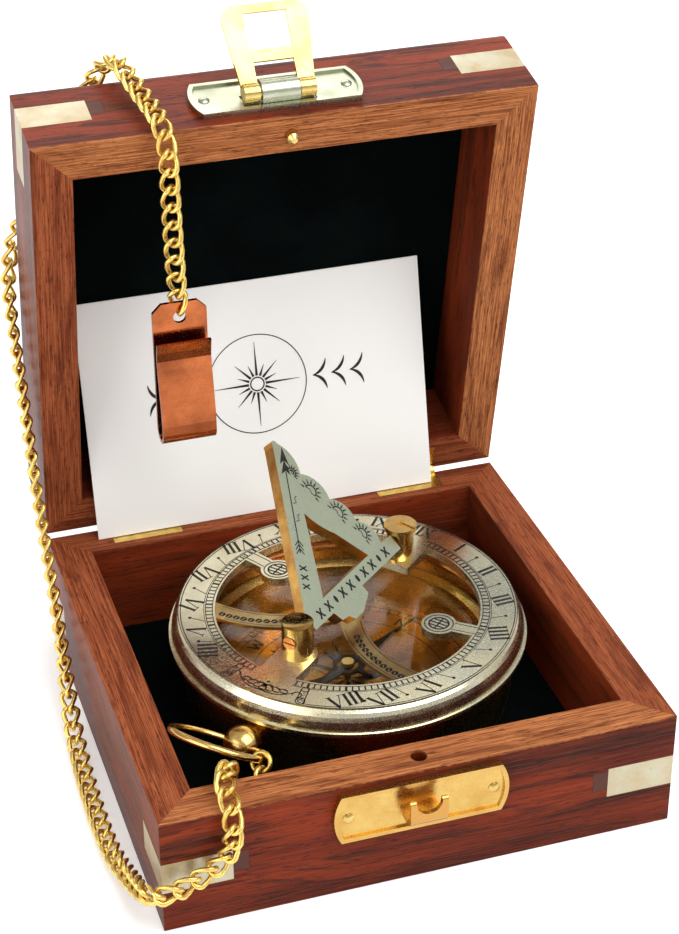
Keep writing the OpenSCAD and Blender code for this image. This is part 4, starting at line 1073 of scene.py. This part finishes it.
for sun in ((26.6, 19.9, 12), (29.0, 12.9, 10), (31.0, 6.2, 8, 1.3), (25.6, 25.4, 14, 0.55)):
    half_sun(sign, *sun)
print("half suns:", 4)

# %% [markdown]
# The bar carries pairs of arches, back to back, with an oval between every second pair.

# %% Arches along the bar
bar_line = 0.15
for k in range(4):
    first_arch = 7.4 + 8.6 * k
    for x in (first_arch, first_arch + 3.1)[:2 if k < 3 else 1]:
        sign.arc(x + 1.25, bar_line, 1.05, 115, 245, 0.44, 10)
        sign.arc(x - 1.25, bar_line, 1.05, -65, 65, 0.44, 10)
    if k < 3:
        ring = [polar(1, 20 * j) for j in range(18)]
        sign.shape([(first_arch + 5.9 + 0.42 * x, bar_line + 0.85 * y) for x, y in ring])
for face, name in ((1, "gnomon_sign_front"), (-1, "gnomon_sign_back")):
    sign.lay(name, "gnomon_plate", on_gnomon(face))

# %% [markdown]
# ## Card in the lid
#
# The card carries only a small star in a ring, with three pairs of leaves on each side, drawn with
# the same pen. It stands on the box's rim and leans against the lid's lining, so its drawing
# is laid by the lid's own directions.

# %% Card drawing
lid_up = Vector((0, -math.cos(LID_OPEN), math.sin(LID_OPEN)))
lid_in = Vector((0, math.sin(LID_OPEN), math.cos(LID_OPEN)))
card_lean = math.radians(24.11)
card_up = lid_up * math.cos(card_lean) + lid_in * math.sin(card_lean)
card_out = lid_in * -math.cos(card_lean) + lid_up * math.sin(card_lean)
card_foot = Vector((-2.6, 45.3, 25.6))
star = Drawing()
for k in range(16):
    long = (9.5, 4.6, 6.6, 4.6)[k % 4]
    star.line([polar(r, 90 - 22.5 * k) for r in (1.9, long)], 0.5, taper=lambda t: 1.15 - t)
star.arc(0, 0, 1.5, 0, 360, 0.3, 24)
star.arc(0, 0, 11.0, 0, 360, 0.22, 60)
for side in (-1, 1):
    for k in range(3):
        for bend in (-1, 1):
            leaf(star, side * (12.5 + 4.2 * k), 0, 90 - side * 90 + side * bend * 28, 4.6, 0.55,
                 side * bend * 40)
star_up, star_out = 29.0, 0.06


def on_card(x, y):
    return card_foot + Vector((x, 0, 0)) + card_up * (star_up + y) + card_out * star_out


star.lay("card_drawing", "lid", on_card)

# %% [markdown]
# ## Stage
#
# The object stands on a pale floor in front of a white backdrop. The camera, metal and glass
# all see the floor and the backdrop near the horizon as white. Higher up, metal sees the room
# itself, with a bright window and darker walls, so that polished brass keeps its contrast.
# Soft lamps give the light.

# %% Floor
paper, tree, shade = new_material("white paper", Roughness=0.9, Specular_IOR_Level=0.1)
shade.inputs["Base Color"].default_value = (0.9, 0.9, 0.9, 1)
half = 1.2
floor_mesh = bpy.data.meshes.new("floor")
floor_mesh.from_pydata([(-half, -half, 0), (half, -half, 0), (half, half, 0), (-half, half, 0)],
                       [], [[0, 1, 2, 3]])
floor_mesh.materials.append(paper)
floor = bpy.data.objects.new("floor", floor_mesh)
floor.location.z = -0.0002
bpy.context.scene.collection.objects.link(floor)
print("floor, m wide:", 2 * half)

# %% [markdown]
# Paper under a lamp is never as white as the photograph's background. So a faint glow is added
# to it, only where it's looked at, by the camera or in metal and glass. It doesn't light the
# object, and the shadow stays.

# %% Glow of the floor
def seen_by_eye(tree, mirrors=1.0):
    """1 where the camera looks, straight or by way of metal and glass."""
    seen = put(tree, "LightPath").outputs
    mirrored = calc(tree, "MAXIMUM", seen["Is Glossy Ray"], seen["Is Transmission Ray"])
    return calc(tree, "MAXIMUM", seen["Is Camera Ray"], times(tree, mirrored, mirrors))


looked_at = seen_by_eye(tree)
glow = put(tree, "Emission", None, Color=(1, 1, 1, 1), Strength=0.32)
plain = tree.nodes.new("ShaderNodeAddShader")
tree.links.new(shade.outputs[0], plain.inputs[0])
tree.links.new(glow.outputs[0], plain.inputs[1])
choose = put(tree, "MixShader", None, i0=looked_at, i1=shade.outputs[0], i2=plain.outputs[0])
output = next(n for n in tree.nodes if n.type == "OUTPUT_MATERIAL")
tree.links.new(choose.outputs[0], output.inputs[0])
print("floor glows where it's looked at")

# %% [markdown]
# The room is a ramp of brightness from floor to ceiling. On the far side it's multiplied by a
# second ramp from left to right: warm on the left, a bright window in the middle and a cool
# wall on the right, which polished metal turns into bands of different colour.

# %% World
world = bpy.data.worlds.new("white room")
bpy.context.scene.world = world
world.use_nodes = True
tree = world.node_tree
toward = put(tree, "SeparateXYZ", None, i0=put(tree, "TexCoord").outputs["Generated"]).outputs


def ramp_of(value, low, high, stops):
    """A colour ramp over a span of the value, with stops of (place from 0 to 1, colour)."""
    node = put(tree, "ValToRGB", None, i0=span(tree, value, low, high))
    elements = node.color_ramp.elements
    for k, (place, colour) in enumerate(stops):
        stop = elements[k] if k < 2 else elements.new(place)
        stop.position, stop.color = place, (*colour, 1)
    return node.outputs[0]


room = ramp_of(toward[2], -1.0, 1.0, [
    (0.45, (0.16, 0.13, 0.11)), (0.92, (1, 1, 1)), (0.54, (0.5, 0.48, 0.46)), (0.66, (0.75, 0.76, 0.78))])
window = ramp_of(toward[0], 0.0, 1.0, [
    (0.0, (0.8, 0.62, 0.46)), (1.0, (0.9, 0.9, 0.9)), (0.14, (0.98, 0.82, 0.64)), (0.2, (1, 0.98, 0.84)),
    (0.27, (1, 1, 0.97)), (0.34, (0.44, 0.5, 0.53)), (0.5, (0.5, 0.54, 0.57)), (0.75, (0.9, 0.9, 0.9))])
far_side = times(tree, span(tree, toward[1], 0.3, 0.6), span(tree, toward[2], 0.2, 0.4))
room = blend_colours(tree, far_side, room, blend_colours(tree, 1.0, room, window, "MULTIPLY"))
background = next(n for n in tree.nodes if n.type == "BACKGROUND")
backdrop = span(tree, calc(tree, "ABSOLUTE", toward[2]), 0.1, 0.2, 1.0, 0.0)
looked_at = seen_by_eye(tree, backdrop)
tree.links.new(blend_colours(tree, looked_at, room, (1, 1, 1)), background.inputs["Color"])
tree.links.new(span(tree, looked_at, 0, 1, 0.62, 1.0), background.inputs["Strength"])
print("world nodes:", len(tree.nodes))

# %% [markdown]
# Three large soft lamps stand for a studio's: one over the front, a weaker warm one on the
# left and one behind, which lights the rims.

# %% Lamps
def lamp(name, place, aim, power, size, colour=(1, 1, 1)):
    light = bpy.data.lights.new(name, "AREA")
    light.energy, light.size, light.color = power, size, colour
    obj = bpy.data.objects.new(name, light)
    obj.location = Vector(place)
    obj.rotation_euler = (Vector(aim) - Vector(place)).to_track_quat("-Z", "Y").to_euler()
    bpy.context.scene.collection.objects.link(obj)


lamp("key", (0.25, -0.35, 0.75), (0, 0, 0.03), 6.5, 0.7)
lamp("fill left", (-0.7, -0.3, 0.35), (0, 0, 0.04), 3.0, 0.7, (1, 0.97, 0.93))
lamp("back", (0.1, 0.7, 0.6), (0, 0, 0.05), 3.5, 0.7)
print("lamps:", 3)

# %% [markdown]
# ## Finish
#

# %% The end
print("scene built")
